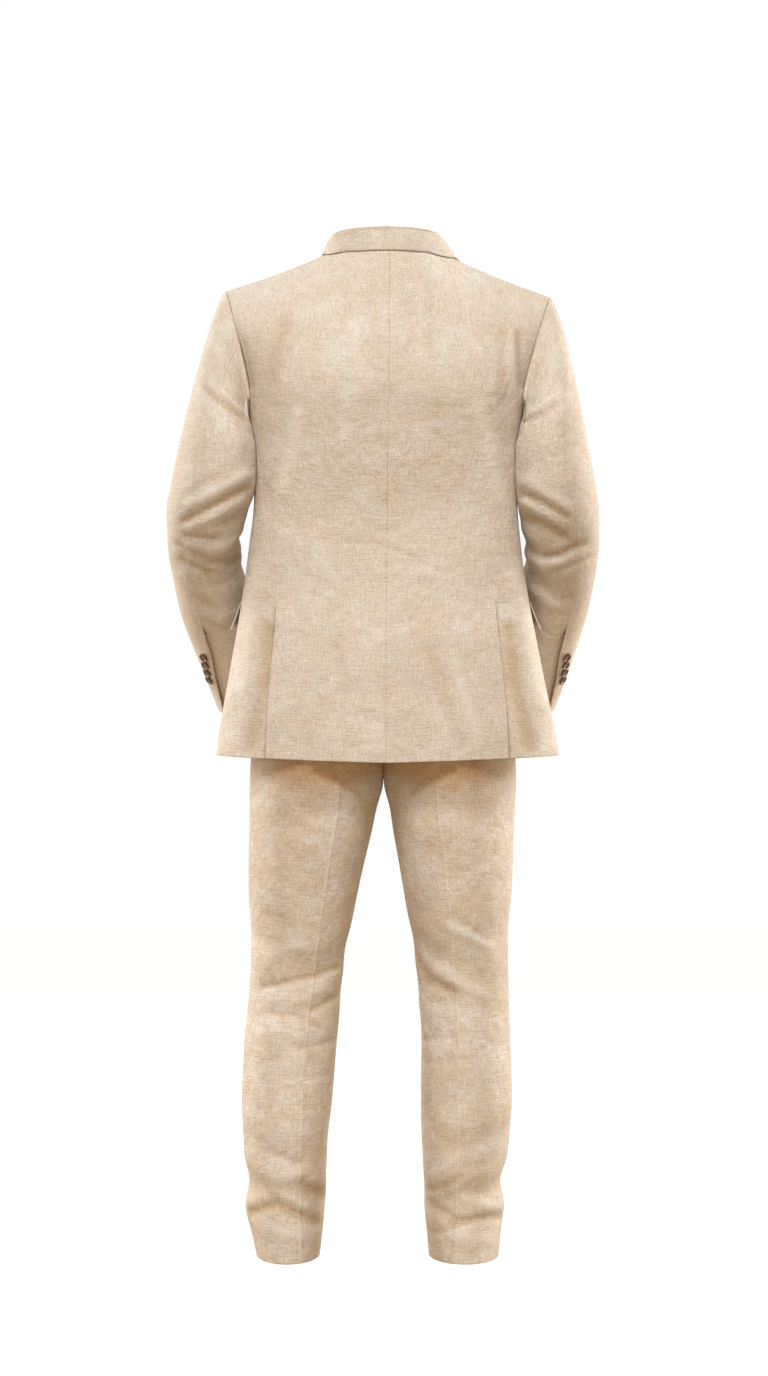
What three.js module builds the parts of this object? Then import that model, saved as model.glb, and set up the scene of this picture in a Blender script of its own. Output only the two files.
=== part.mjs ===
// A two-piece suit, worn: a two-button jacket with side vents and a pair of creased trousers.
// Millimetres, +Z up. The origin is at the base of the neck, between the shoulders.
// The front faces -Y, and +X is the wearer's left. Every cloth piece is a hollow wall of its own.
import * as THREE from 'three';

// Cloth and seams
const JACKET_WALL = 2.0;
const TROUSER_WALL = 1.6;
const SEAM_GAP = 0.3;
const HALF_GAP = SEAM_GAP / 2;
const ARMHOLE_GAP = 0.8;

// Jacket levels
const HEM_BACK_Z = -766;
const HEM_SIDE_Z = -757;
const HEM_FRONT_Z = -779;
const HEM_DIP_U = { from: 0.52, to: 0.74 };
const UNDERARM_Z = -225;
const UNDERARM_DIP = 37;
const VENT_TOP_Z = -532;
const UNDERARM_V = 0.62;

// Places round a half jacket, from the centre back (0) by the side (0.5) to the centre front (1)
const NECK_U = 0.107;
const ARMHOLE_BACK_U = 0.413;
const ARMHOLE_FRONT_U = 0.587;
const SECTION_POWER = 2.5;

// Neck and shoulders
const NECK_HALF_WIDTH = 78;
const NECK_BACK_Y = 72;
const NECK_FRONT_Y = -78;
const NECK_FRONT_DROP = 95;
const RIDGE_Y = -2;
const NECK_TOP_Z = -2;
const SHOULDER_HOLLOW = 3;
const SHOULDER_GAP = 0.2;
// How far the cloth runs on before it bends: up from the underarm, and down from neck and shoulder
const RISE_REACH = 62;
const NECK_REACH = 58;
const SHOULDER_REACH = 50;
const TIP_REACH = 64;
const NECK_SLOPE = { y: 0.42, z: -0.9 };

// Columns: height, half width of the body on the wearer's left, and on the right
const BODY_WIDTHS = [
  [-790, 257, 262], [-760, 254, 259], [-700, 246, 249], [-648, 237, 238], [-597, 228, 228],
  [-525, 216, 214], [-450, 206, 203], [-375, 198, 197], [-300, 200, 198], [-262, 204, 203],
  [-225, 208, 208], [-150, 218, 220],
];
// Columns: height, depth to the back, depth to the front, drift of the centre seam
const BODY_DEPTHS = [
  [-790, 137, 142, 1], [-700, 132, 139, 0], [-600, 120, 134, 0], [-500, 103, 127, -1],
  [-400, 98, 124, -2], [-300, 110, 128, -3], [-225, 122, 130, -4], [-150, 128, 128, -5],
];
// Columns: height, place of the side-back seam
const SIDE_BACK_SEAM = [
  [-770, 0.217], [-640, 0.235], [-532, 0.245], [-458, 0.29], [-368, 0.365], [-262, 0.408],
  [-225, 0.413],
];
// Columns: height, how far the front edge stands past the centre line, negative where it falls short
const FRONT_EDGE = [
  [-790, -120], [-757, -92], [-735, -62], [-700, -36], [-640, -14], [-560, 6], [-500, 18],
  [-440, 20], [-372, 18], [-300, -6], [-200, -34], [-120, -54], [-60, -64], [-20, -70], [0, -76],
];

const SIDES = {
  left: { sign: 1, column: 1, tip: new THREE.Vector3(238, RIDGE_Y, -62) },
  right: { sign: -1, column: 2, tip: new THREE.Vector3(244, RIDGE_Y, -71) },
};

// Sleeve columns: height, inner x, outer x, middle y, half depth, then the slopes of the ring
// across (x) and along (y)
const SLEEVE_RINGS = {
  left: [
    [-300, 191, 309, 24, 75, 0.05, 0.0], [-345, 191, 320, 19, 78, 0.0, -0.05],
    [-390, 202, 329, 4, 75, -0.05, -0.2], [-435, 215, 329, -24, 69, -0.1, -0.35],
    [-480, 216, 323, -60, 62, -0.16, -0.5], [-525, 207, 315, -97, 57, -0.2, -0.6],
    [-570, 194, 300, -133, 54, -0.22, -0.64], [-615, 182, 284, -161, 51, -0.22, -0.64],
    [-640, 175, 275, -177, 49, -0.22, -0.64], [-669, 167, 265, -195, 48, -0.22, -0.64],
  ],
  right: [
    [-300, 190, 302, 24, 74, 0.05, 0.0], [-345, 190, 311, 19, 77, 0.0, -0.05],
    [-390, 194, 319, 4, 74, -0.05, -0.2], [-435, 204, 321, -24, 69, -0.1, -0.35],
    [-480, 209, 317, -60, 62, -0.16, -0.5], [-525, 206, 309, -97, 57, -0.2, -0.6],
    [-570, 194, 297, -133, 54, -0.22, -0.64], [-615, 182, 284, -161, 51, -0.22, -0.64],
    [-640, 175, 276, -177, 49, -0.22, -0.64], [-669, 167, 266, -195, 48, -0.22, -0.64],
  ],
};
const SLEEVE_HEAD_S = 0.34;
const LOOP_MIDDLE = new THREE.Vector3(240, 5, 0);
// How the sleeve head leaves the armhole: low by the underarm, and more at the shoulder tip
const HEAD_OUT = { low: 10, more: 3 };
const HEAD_SIDE = { low: 8, more: -7 };
const HEAD_RUN = { low: 34, more: 70 };
// Columns: place down the sleeve, hind-arm seam round it
const HIND_SEAM = [
  [0, 0.235], [0.34, 0.235], [0.5, 0.195], [0.65, 0.195], [0.8, 0.19], [0.9, 0.157], [1, 0.122],
];
const FORE_SEAM = 0.69;
const HIND_GAP = 0.3;
// Where an arm rests on the body, the sleeve lies against it, this far off
const CONTACT_GAP = 1.8;
const CONTACT_SOFTNESS = 3;
const CONTACT_Z = { low: -262, high: -228 };
const CUFF_SLIT_S = 0.775;
const CUFF_STEP_S = 0.015;
const CUFF_BLEND_S = 0.04;

// Trousers
const CROTCH_Z = -793;
const WAIST_TOP_Z = -538;
const WAIST_SEAM_Z = -575;
const TROUSER_HEM_Z = -1506;
const CROTCH_V = 0.74;
const LEG_RADIUS = 90;
const WAIST_SEAM_GAP = 0.48;
// Columns: height, outer x, inner x on the left, outer x, inner x on the right, back y, front y
const LEG_ROWS = [
  [-1506, 194, 99, -169, -64, 84, -82], [-1470, 202, 95, -172, -61, 82, -80],
  [-1430, 211, 91, -177, -57, 79, -78], [-1395, 207, 88, -174, -56, 79, -77],
  [-1350, 213, 88, -183, -54, 78, -76], [-1268, 216, 80, -189, -52, 75, -75],
  [-1180, 212, 73, -186, -53, 71, -76], [-1110, 205, 66, -184, -47, 70, -80],
  [-1042, 202, 57, -183, -39, 78, -84], [-952, 206, 40, -189, -25, 89, -92],
  [-862, 205, 19, -192, -9, 103, -105], [-793, 204, 3.75, -195, 3.45, 116, -113],
  [-730, 200, 3.75, -192, 3.45, 126, -112], [-690, 192, 3.75, -186, 3.45, 117, -109],
  [-630, 176, 3.75, -172, 3.45, 108, -102], [-575, 164, 3.75, -160, 3.45, 99, -95],
  [-538, 160, 3.75, -156, 3.45, 95, -92],
];

// The largest folds, pressed in from one place to another.
// Columns: place round and place along at the start, the same at the end, depth, half width
const SLEEVE_FOLDS = {
  left: [
    [0.2, 0.21, 0.4, 0.27, 5, 20], [0.52, 0.5, 0.2, 0.55, 5, 18], [0.54, 0.585, 0.16, 0.6, 9, 17],
    [0.52, 0.66, 0.2, 0.645, 6, 16], [0.46, 0.73, 0.2, 0.7, 4, 18], [0.56, 0.55, 0.86, 0.52, 8, 19],
    [0.6, 0.62, 0.9, 0.61, 7, 17], [0.62, 0.7, 0.84, 0.69, 4, 18], [0.92, 0.24, 0.72, 0.31, 5, 20],
  ],
  right: [
    [0.2, 0.22, 0.42, 0.27, 6, 20], [0.5, 0.52, 0.22, 0.53, 5, 18], [0.55, 0.6, 0.17, 0.57, 8, 17],
    [0.5, 0.65, 0.18, 0.67, 7, 16], [0.46, 0.75, 0.22, 0.71, 4, 18], [0.57, 0.54, 0.88, 0.53, 8, 19],
    [0.6, 0.63, 0.86, 0.6, 7, 17], [0.64, 0.71, 0.86, 0.69, 4, 18], [0.9, 0.25, 0.74, 0.31, 5, 20],
  ],
};
const LEG_FOLDS = {
  left: [
    [0.47, 0.475, 0.18, 0.425, 7, 24], [0.46, 0.41, 0.12, 0.375, 6, 22], [0.08, 0.5, 0.24, 0.46, 4, 22],
    [0.1, 0.185, 0.4, 0.145, 5, 22], [0.05, 0.12, 0.42, 0.085, 7, 20], [0.4, 0.7, 0.2, 0.68, 5, 26],
    [0.55, 0.12, 0.9, 0.1, 7, 22], [0.56, 0.46, 0.8, 0.5, 4, 28], [0.55, 0.72, 0.85, 0.76, 6, 26],
  ],
  right: [
    [0.46, 0.49, 0.2, 0.44, 7, 24], [0.47, 0.42, 0.14, 0.39, 6, 22], [0.07, 0.51, 0.22, 0.48, 4, 22],
    [0.08, 0.2, 0.42, 0.16, 5, 22], [0.04, 0.115, 0.4, 0.09, 7, 20], [0.42, 0.71, 0.18, 0.69, 5, 26],
    [0.57, 0.11, 0.92, 0.115, 7, 22], [0.55, 0.47, 0.82, 0.49, 4, 28], [0.56, 0.71, 0.86, 0.75, 6, 26],
  ],
};
const SLEEVE_SPAN = { round: 400, along: 660 };
const LEG_SPAN = { round: 480, along: 960 };

// Laps: how far one edge passes under the next, and how deep it lies there
const VENT_UNDERLAP = 26;
const CUFF_UNDERLAP = 14;
const VENT_STEP_V = 0.012;
const VENT_BLEND_V = 0.03;
const UNDERLAP_DEPTH = 4.2;

// Pieces that lie on a panel
const LAPEL_LIFT = 3.2;
const LAPEL_ROLL = 3;
const LAPEL_LOW_Z = -378;
const LAPEL_TOP_Z = -92;
// Columns: height, distance of the lapel's edge from the centre line
const LAPEL_EDGE = [
  [-385, -20], [-372, -6], [-340, 29], [-290, 60], [-230, 85], [-170, 104], [-120, 117], [-80, 117],
];
const FLAP_LIFT = 2.8;
const FLAP_TOP_Z = -522;
const FLAP_HEIGHT = 43;
const FLAP_KICK = 8;
const FLAP_FIRST_U = 0.5;
const FLAP_LAST_U = 0.655;
const FLY_LIFT = 2.6;
const FLY_FIRST_X = 7;
const FLY_LAST_X = 38;
const FLY_LOW_Z = -705;
// Columns: place from the centre back (0) to the front end (1), then x, y, z of the stand's foot
// and of the fold
const COLLAR_ROWS = [
  [0, 0, 70, -0.5, 0, 73, 24], [0.25, 40, 59, -0.5, 43, 62, 23], [0.5, 68, 30, -0.5, 73, 32, 21],
  [0.68, 77, -4, -1, 83, -5, 13], [0.84, 76, -46, -24, 83, -50, -8], [1, 64, -84, -72, 71, -90, -60],
];
// The leaf's edge lies on the jacket. Columns: place round the collar, then the edge's place round
// the half jacket from its nearer centre line, and its place up the jacket
const LEAF_EDGE = [
  [0, 0, 0.9775, 0.9775], [0.25, 0.027, 0.9785, 0.9775], [0.42, 0.052, 0.9775, 0.974],
  [0.52, 0.088, 0.969, 0.958], [0.6, 0.124, 0.966, 0.954], [0.68, 0.15, 1, 1],
  [0.76, 0.163, 0.959, 0.959], [0.84, 0.167, 0.9075, 0.9075], [0.92, 0.158, 0.862, 0.862],
  [1, 0.139, 0.826, 0.826],
];
const LEAF_RIDGE = 0.68;
const LEAF_LIFT = 3.4;
const LEAF_REACH = { left: 0.93, right: 1.05 };
const FRONT_BUTTON = { radius: 10.5, height: 3.4, levels: [-395, -492] };
const CUFF_BUTTON = { radius: 7.4, height: 3.0, count: 4, first: 0.834, last: 0.903, inset: 15 };
const WAIST_BUTTON = { radius: 8, height: 3.0, x: 18, v: 0.981 };

const MATERIALS = {
  jacket: new THREE.MeshStandardMaterial({ color: 0xddcbb2, roughness: 0.95, metalness: 0 }),
  trouser: new THREE.MeshStandardMaterial({ color: 0xd3bd9f, roughness: 0.95, metalness: 0 }),
  button: new THREE.MeshStandardMaterial({ color: 0x4b382a, roughness: 0.35, metalness: 0 }),
};

const suit = new THREE.Group();

function smooth(low, high, value) {
  return THREE.MathUtils.smoothstep(value, low, high);
}

// One column of a table, smoothly between its rows.
function lookUp(table, place, column) {
  const rows = table[0][0] < table[1][0] ? table : [...table].reverse();
  if (place <= rows[0][0]) return rows[0][column];
  const last = rows.length - 1;
  if (place >= rows[last][0]) return rows[last][column];
  let k = 0;
  while (rows[k + 1][0] < place) k += 1;
  const at = (i) => rows[THREE.MathUtils.clamp(i, 0, last)];
  const span = rows[k + 1][0] - rows[k][0];
  const t = (place - rows[k][0]) / span;
  const secant = (i) => (at(i + 1)[column] - at(i)[column]) / (at(i + 1)[0] - at(i)[0]);
  const slope = (i) => {
    if (i === 0) return secant(0) * span;
    if (i === last) return secant(last - 1) * span;
    const before = secant(i - 1);
    const after = secant(i);
    return before * after <= 0 ? 0 : ((2 * before * after) / (before + after)) * span;
  };
  const a = rows[k][column];
  const b = rows[k + 1][column];
  const t2 = t * t;
  const t3 = t2 * t;
  return a * (2 * t3 - 3 * t2 + 1) + slope(k) * (t3 - 2 * t2 + t)
    + b * (3 * t2 - 2 * t3) + slope(k + 1) * (t3 - t2);
}

function bezier(p0, p1, p2, p3, t) {
  return new THREE.CubicBezierCurve3(p0, p1, p2, p3).getPoint(t);
}

// How deep the folds press in at one place of a sleeve or a leg.
function foldDepth(folds, span, round, along) {
  let sum = 0;
  for (const [round0, along0, round1, along1, depth, width] of folds) {
    const wrapped = round - round0 - Math.round(round - (round0 + round1) / 2);
    const x = wrapped * span.round;
    const y = (along - along0) * span.along;
    const dx = (round1 - round0) * span.round;
    const dy = (along1 - along0) * span.along;
    const length = Math.hypot(dx, dy);
    const t = (x * dx + y * dy) / length ** 2;
    const aside = (x * dy - y * dx) / length;
    const past = Math.max(0, -t, t - 1) * length;
    const fade = 1 - 0.4 * Math.abs(2 * THREE.MathUtils.clamp(t, 0, 1) - 1);
    sum += depth * fade * Math.exp(-((aside / width) ** 2) - (past / (1.5 * width)) ** 2);
  }
  return sum;
}

// Jacket body: a section round the body at one height.
function bodyRing(side, u, z) {
  const angle = Math.PI * u;
  const across = Math.abs(Math.sin(angle)) ** (2 / SECTION_POWER);
  const along = Math.abs(Math.cos(angle)) ** (2 / SECTION_POWER);
  const back = angle < Math.PI / 2;
  const width = lookUp(BODY_WIDTHS, z, SIDES[side].column);
  const depth = back ? lookUp(BODY_DEPTHS, z, 1) : -lookUp(BODY_DEPTHS, z, 2);
  const drift = back ? lookUp(BODY_DEPTHS, z, 3) * along ** 2 : 0;
  return new THREE.Vector3(SIDES[side].sign * width * across + drift, depth * along, z);
}

// The top of each column: round the neck, then along the shoulder to its tip.
function bodyTop(side, u) {
  const { sign, tip } = SIDES[side];
  const back = u < 0.5;
  const place = back ? u : 1 - u;
  const ridge = RIDGE_Y + (back ? SHOULDER_GAP : -SHOULDER_GAP);
  if (place <= NECK_U) {
    const angle = (Math.PI / 2) * (place / NECK_U);
    const depth = back ? NECK_BACK_Y : NECK_FRONT_Y;
    const drop = back ? 0 : NECK_FRONT_DROP * Math.cos(angle);
    const drift = back ? lookUp(BODY_DEPTHS, -150, 3) * Math.cos(angle) ** 2 : 0;
    return new THREE.Vector3(sign * NECK_HALF_WIDTH * Math.sin(angle) + drift,
      ridge + depth * Math.cos(angle), NECK_TOP_Z - drop);
  }
  const t = (place - NECK_U) / (ARMHOLE_BACK_U - NECK_U);
  const hollow = SHOULDER_HOLLOW * Math.sin(Math.PI * t);
  return new THREE.Vector3(sign * THREE.MathUtils.lerp(NECK_HALF_WIDTH, tip.x, t), ridge,
    THREE.MathUtils.lerp(NECK_TOP_Z, tip.z, t) - hollow);
}

// Above the underarm a column rises from the ring and rolls over to the top.
function bodyColumn(side, u, t) {
  const { sign } = SIDES[side];
  const foot = bodyRing(side, u, UNDERARM_Z);
  const rise = bodyRing(side, u, UNDERARM_Z + 10).sub(foot).multiplyScalar(0.1);
  const head = bodyTop(side, u);
  const back = u < 0.5;
  const place = back ? u : 1 - u;
  const shoulder = smooth(0.3 * NECK_U, NECK_U, place);
  const facing = back ? 1 : -1;
  const shoulderReach = THREE.MathUtils.lerp(SHOULDER_REACH, TIP_REACH, place / ARMHOLE_BACK_U);
  const reach = THREE.MathUtils.lerp(NECK_REACH, shoulderReach, shoulder);
  const neckward = new THREE.Vector3(0, NECK_SLOPE.y * facing, NECK_SLOPE.z);
  const backward = new THREE.Vector3(0, facing, 0);
  const away = neckward.lerp(backward, shoulder).normalize().multiplyScalar(reach);
  const first = foot.clone().addScaledVector(rise, RISE_REACH);
  return bezier(foot, first, head.clone().add(away).setX(head.x + sign * 2 * shoulder), head, t);
}

function armholeFloor(u) {
  const t = (u - ARMHOLE_BACK_U) / (ARMHOLE_FRONT_U - ARMHOLE_BACK_U);
  if (t <= 0 || t >= 1) return UNDERARM_Z;
  return UNDERARM_Z - UNDERARM_DIP * Math.sin(Math.PI * t) ** 1.2;
}

function bodyPoint(side, u, v) {
  if (v > UNDERARM_V) return bodyColumn(side, u, (v - UNDERARM_V) / (1 - UNDERARM_V));
  const backHem = THREE.MathUtils.lerp(HEM_BACK_Z, HEM_SIDE_Z, Math.sin(Math.PI * Math.min(u, 0.5)));
  const hem = THREE.MathUtils.lerp(backHem, HEM_FRONT_Z, smooth(HEM_DIP_U.from, HEM_DIP_U.to, u));
  return bodyRing(side, u, THREE.MathUtils.lerp(hem, armholeFloor(u), v / UNDERARM_V));
}

// The height share at which a body column reaches a height, and the place where a row reaches x.
function solve(low, high, isPast) {
  let a = low;
  let b = high;
  for (let k = 0; k < 30; k += 1) {
    const middle = (a + b) / 2;
    if (isPast(middle)) b = middle;
    else a = middle;
  }
  return (a + b) / 2;
}
const bodyV = (side, u, z) => solve(0, 1, (v) => bodyPoint(side, u, v).z > z);
function frontU(side, v, x) {
  const { sign } = SIDES[side];
  return solve(0.55, 1, (u) => sign * bodyPoint(side, u, v).x < x);
}

// Sleeve: the loop round the armhole, starting at the shoulder tip and going by the back.
function armholeLoop(side) {
  const edges = [];
  const steps = 24;
  const near = 0.002;
  const add = (u, v, ahead, behind) => {
    const out = ahead.sub(behind).normalize();
    edges.push({ point: bodyPoint(side, u, v).addScaledVector(out, ARMHOLE_GAP), out });
  };
  const addUpright = (u, v, du) => add(u, v, bodyPoint(side, u + du, v), bodyPoint(side, u, v));
  const addFloor = (u, v) => add(u, v, bodyPoint(side, u, v), bodyPoint(side, u, v - near));
  for (const v of evenRows(1, UNDERARM_V, steps)) addUpright(ARMHOLE_BACK_U, v, near);
  const floor = evenRows(ARMHOLE_BACK_U, ARMHOLE_FRONT_U, steps).slice(1, -1);
  for (const u of floor) addFloor(u, UNDERARM_V);
  for (const v of evenRows(UNDERARM_V, 1, steps)) addUpright(ARMHOLE_FRONT_U, v, -near);
  const lengths = [0];
  for (let k = 1; k < edges.length; k += 1) {
    lengths.push(lengths[k - 1] + edges[k].point.distanceTo(edges[k - 1].point));
  }
  return { edges, lengths };
}
const LOOPS = { left: armholeLoop('left'), right: armholeLoop('right') };

function loopAt(side, a) {
  const { edges, lengths } = LOOPS[side];
  const wanted = (a - Math.floor(a)) * lengths[lengths.length - 1];
  let k = 0;
  while (k < lengths.length - 2 && lengths[k + 1] < wanted) k += 1;
  const t = (wanted - lengths[k]) / (lengths[k + 1] - lengths[k]);
  return {
    point: edges[k].point.clone().lerp(edges[k + 1].point, t),
    out: edges[k].out.clone().lerp(edges[k + 1].out, t).normalize(),
  };
}

function sleeveRing(side, a, z) {
  const table = SLEEVE_RINGS[side];
  const angle = 2 * Math.PI * a;
  const inner = lookUp(table, z, 1);
  const outer = lookUp(table, z, 2);
  const across = ((outer - inner) / 2) * Math.cos(angle);
  const along = lookUp(table, z, 4) * Math.sin(angle);
  const tilt = lookUp(table, z, 5) * across + lookUp(table, z, 6) * along;
  const { top, bottom } = sleeveSpan(side);
  const s = SLEEVE_HEAD_S + ((top - z) / (top - bottom)) * (1 - SLEEVE_HEAD_S);
  const radius = Math.hypot(across, along);
  const shrink = 1 - foldDepth(SLEEVE_FOLDS[side], SLEEVE_SPAN, a, s) / radius;
  return new THREE.Vector3(SIDES[side].sign * ((inner + outer) / 2 + across * shrink),
    lookUp(table, z, 3) + along * shrink, z + tilt);
}

function sleeveSpan(side) {
  const table = SLEEVE_RINGS[side];
  return { top: table[0][0], bottom: table[table.length - 1][0] };
}

// A sleeve's point, moved sideways where it would lie in the body.
function besideBody(side, point, weight) {
  const { sign, column } = SIDES[side];
  const depth = lookUp(BODY_DEPTHS, point.z, point.y > 0 ? 1 : 2);
  const share = Math.min(1, Math.abs(point.y) / depth);
  const width = lookUp(BODY_WIDTHS, point.z, column) * (1 - share ** SECTION_POWER) ** (1 / SECTION_POWER);
  const inside = width + CONTACT_GAP - sign * point.x;
  if (inside <= -CONTACT_SOFTNESS) return point;
  const soft = (inside + CONTACT_SOFTNESS) ** 2 / (4 * CONTACT_SOFTNESS);
  const below = 1 - smooth(CONTACT_Z.low, CONTACT_Z.high, point.z);
  point.x += sign * weight * below * (inside < CONTACT_SOFTNESS ? soft : inside);
  return point;
}

function sleevePoint(side, a, s) {
  const { top, bottom } = sleeveSpan(side);
  if (s >= SLEEVE_HEAD_S) {
    const t = (s - SLEEVE_HEAD_S) / (1 - SLEEVE_HEAD_S);
    return besideBody(side, sleeveRing(side, a, THREE.MathUtils.lerp(top, bottom, t)), 1);
  }
  const t = s / SLEEVE_HEAD_S;
  const { point, out } = loopAt(side, a);
  const foot = sleeveRing(side, a, top);
  const run = foot.clone().sub(sleeveRing(side, a, top - 10)).multiplyScalar(0.1);
  const high = 0.5 + 0.5 * Math.cos(2 * Math.PI * a);
  const first = point.clone().addScaledVector(out, HEAD_OUT.low + HEAD_OUT.more * high);
  first.x += SIDES[side].sign * (HEAD_SIDE.low + HEAD_SIDE.more * high);
  const second = foot.clone().addScaledVector(run, HEAD_RUN.low + HEAD_RUN.more * high);
  const place = bezier(point, first, second, foot, t);
  const middle = new THREE.Vector3(LOOP_MIDDLE.x * SIDES[side].sign, LOOP_MIDDLE.y, place.z);
  const footDepth = foldDepth(SLEEVE_FOLDS[side], SLEEVE_SPAN, a, SLEEVE_HEAD_S);
  const depth = foldDepth(SLEEVE_FOLDS[side], SLEEVE_SPAN, a, s) - footDepth;
  place.addScaledVector(place.clone().sub(middle).normalize(), -depth * smooth(0, 0.4, t));
  return besideBody(side, place, smooth(0.05, 0.4, t));
}

// Trousers: heights from hem to waist, with a seat seam that dips to the crotch.
function legPoint(side, a, v) {
  const shift = side === 'left' ? 1 : 3;
  const back = a < 0.5;
  const depthColumn = back ? 5 : 6;
  const rise = THREE.MathUtils.clamp((v - CROTCH_V) / (1 - CROTCH_V), 0, 1);
  const z = v < CROTCH_V ? THREE.MathUtils.lerp(TROUSER_HEM_Z, CROTCH_Z, v / CROTCH_V)
    : THREE.MathUtils.lerp(CROTCH_Z, WAIST_TOP_Z, rise);
  const outer = lookUp(LEG_ROWS, z, shift);
  const inner = lookUp(LEG_ROWS, z, shift + 1);
  const depth = lookUp(LEG_ROWS, z, depthColumn);
  const crease = THREE.MathUtils.lerp(inner, outer, 0.5 - 0.08 * rise);
  const folds = foldDepth(LEG_FOLDS[side], LEG_SPAN, a, v) * (1 - smooth(0.3, 0.7, rise));
  const pressed = 1 - folds / LEG_RADIUS;
  const toward = back ? 1 - a / 0.5 : (a - 0.5) / 0.5;
  if (toward >= 0.5) {
    const angle = ((toward - 0.5) / 0.5) * (Math.PI / 2);
    return new THREE.Vector3(crease + (outer - crease) * Math.sin(angle) * pressed,
      depth * Math.cos(angle) * pressed, z);
  }
  const angle = (1 - toward / 0.5) * (Math.PI / 2);
  const seamY = depth * 0.96 * (1 - (1 - rise) ** 2.6);
  const seamZ = CROTCH_Z + (z - CROTCH_Z) * (rise > 0 ? Math.min(1, rise / 0.5) ** 0.7 : 1);
  const bend = Math.sin(angle) ** 2;
  const pinch = THREE.MathUtils.lerp(pressed, 1, bend * smooth(CROTCH_V - 0.06, CROTCH_V, v));
  return new THREE.Vector3(crease + (inner - crease) * Math.sin(angle) * pinch,
    (seamY + (depth - seamY) * Math.cos(angle)) * pinch, THREE.MathUtils.lerp(z, seamZ, bend));
}

// The unit normal of a surface at a place, pointing out of the cloth tube.
function normalAt(surface, u, v, outward) {
  const step = 0.004;
  const alongU = surface(u + step, v).sub(surface(u - step, v));
  const alongV = surface(u, v + step).sub(surface(u, v - step));
  return alongU.cross(alongV).normalize().multiplyScalar(outward);
}

// How far a place moves for one millimetre along the surface.
function perMillimetre(surface, u, v) {
  const step = 0.002;
  return (2 * step) / surface(u + step, v).distanceTo(surface(u - step, v));
}

// A closed wall on a grid of outer and inner points, rows by columns.
function closedWall(outer, inner) {
  const rows = outer.length;
  const columns = outer[0].length;
  const positions = [...outer.flat(), ...inner.flat()].flatMap((p) => [p.x, p.y, p.z]);
  const half = rows * columns;
  const faces = [];
  const quad = (a, b, c, d) => faces.push(a, b, c, a, c, d);
  const at = (row, column) => row * columns + column;
  for (let r = 0; r < rows - 1; r += 1) {
    for (let c = 0; c < columns - 1; c += 1) {
      quad(at(r, c), at(r, c + 1), at(r + 1, c + 1), at(r + 1, c));
      quad(half + at(r, c), half + at(r + 1, c), half + at(r + 1, c + 1), half + at(r, c + 1));
    }
  }
  const rim = [];
  for (let c = 0; c < columns - 1; c += 1) rim.push([at(0, c), at(0, c + 1)]);
  for (let r = 0; r < rows - 1; r += 1) rim.push([at(r, columns - 1), at(r + 1, columns - 1)]);
  for (let c = columns - 1; c > 0; c -= 1) rim.push([at(rows - 1, c), at(rows - 1, c - 1)]);
  for (let r = rows - 1; r > 0; r -= 1) rim.push([at(r, 0), at(r - 1, 0)]);
  for (const [a, b] of rim) quad(b, a, half + a, half + b);
  const geometry = new THREE.BufferGeometry();
  geometry.setAttribute('position', new THREE.Float32BufferAttribute(positions, 3));
  geometry.setIndex(volumeOf(positions, faces) < 0 ? turned(faces) : faces);
  geometry.computeVertexNormals();
  return geometry;
}

function volumeOf(positions, faces) {
  const corner = (i) => new THREE.Vector3().fromArray(positions, 3 * i);
  let sum = 0;
  for (let k = 0; k < faces.length; k += 3) {
    sum += corner(faces[k]).dot(corner(faces[k + 1]).cross(corner(faces[k + 2])));
  }
  return sum;
}

function turned(faces) {
  const result = [];
  for (let k = 0; k < faces.length; k += 3) result.push(faces[k], faces[k + 2], faces[k + 1]);
  return result;
}

function addPiece(name, geometry, material) {
  const mesh = new THREE.Mesh(geometry, material);
  mesh.name = name;
  suit.add(mesh);
}

// A cloth panel: rows of v, and for each row a first and a last place u.
function panel(name, options) {
  const { surface, rows, columns, firstU, lastU, outward, wall, material } = options;
  const lift = options.lift ?? (() => 0);
  const outer = [];
  const inner = [];
  for (const v of rows) {
    const from = firstU(v);
    const to = lastU(v);
    const outerRow = [];
    const innerRow = [];
    for (let c = 0; c <= columns; c += 1) {
      const u = THREE.MathUtils.lerp(from, to, c / columns);
      const normal = normalAt(surface, u, v, outward);
      const place = surface(u, v).addScaledVector(normal, lift(u, v, c / columns));
      outerRow.push(place);
      innerRow.push(place.clone().addScaledVector(normal, -wall));
    }
    outer.push(outerRow);
    inner.push(innerRow);
  }
  addPiece(name, closedWall(outer, inner), material);
}

function evenRows(from, to, count) {
  return Array.from({ length: count + 1 }, (_, k) => THREE.MathUtils.lerp(from, to, k / count));
}

// Jacket panels
const OTHER = { left: 'right', right: 'left' };

// The body's surface, carried over the centre line onto the other half.
function jacketSurface(side) {
  return (u, v) => {
    if (u < 0) return bodyPoint(OTHER[side], -u, v);
    if (u > 1) return bodyPoint(OTHER[side], 2 - u, v);
    return bodyPoint(side, u, v);
  };
}

function jacketRows(side) {
  const ventTop = bodyV(side, 0.25, VENT_TOP_Z);
  const low = [...evenRows(0, ventTop, 5), ventTop + VENT_STEP_V, ventTop + VENT_BLEND_V];
  const middle = evenRows(ventTop + VENT_BLEND_V, UNDERARM_V, 6).slice(1);
  const high = evenRows(UNDERARM_V, 1, 7).slice(1);
  return { ventTop, low: [...low, ...middle], all: [...low, ...middle, ...high] };
}

// How far a front edge stands past the centre line in one row.
function frontReach(side, v) {
  return lookUp(FRONT_EDGE, bodyPoint(side, 0.85, v).z, 1);
}

function frontEdgeU(side, surface, v) {
  const reach = frontReach(side, v);
  return reach > 0 ? 1 + reach * perMillimetre(surface, 1, v) : frontU(side, v, -reach);
}

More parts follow.
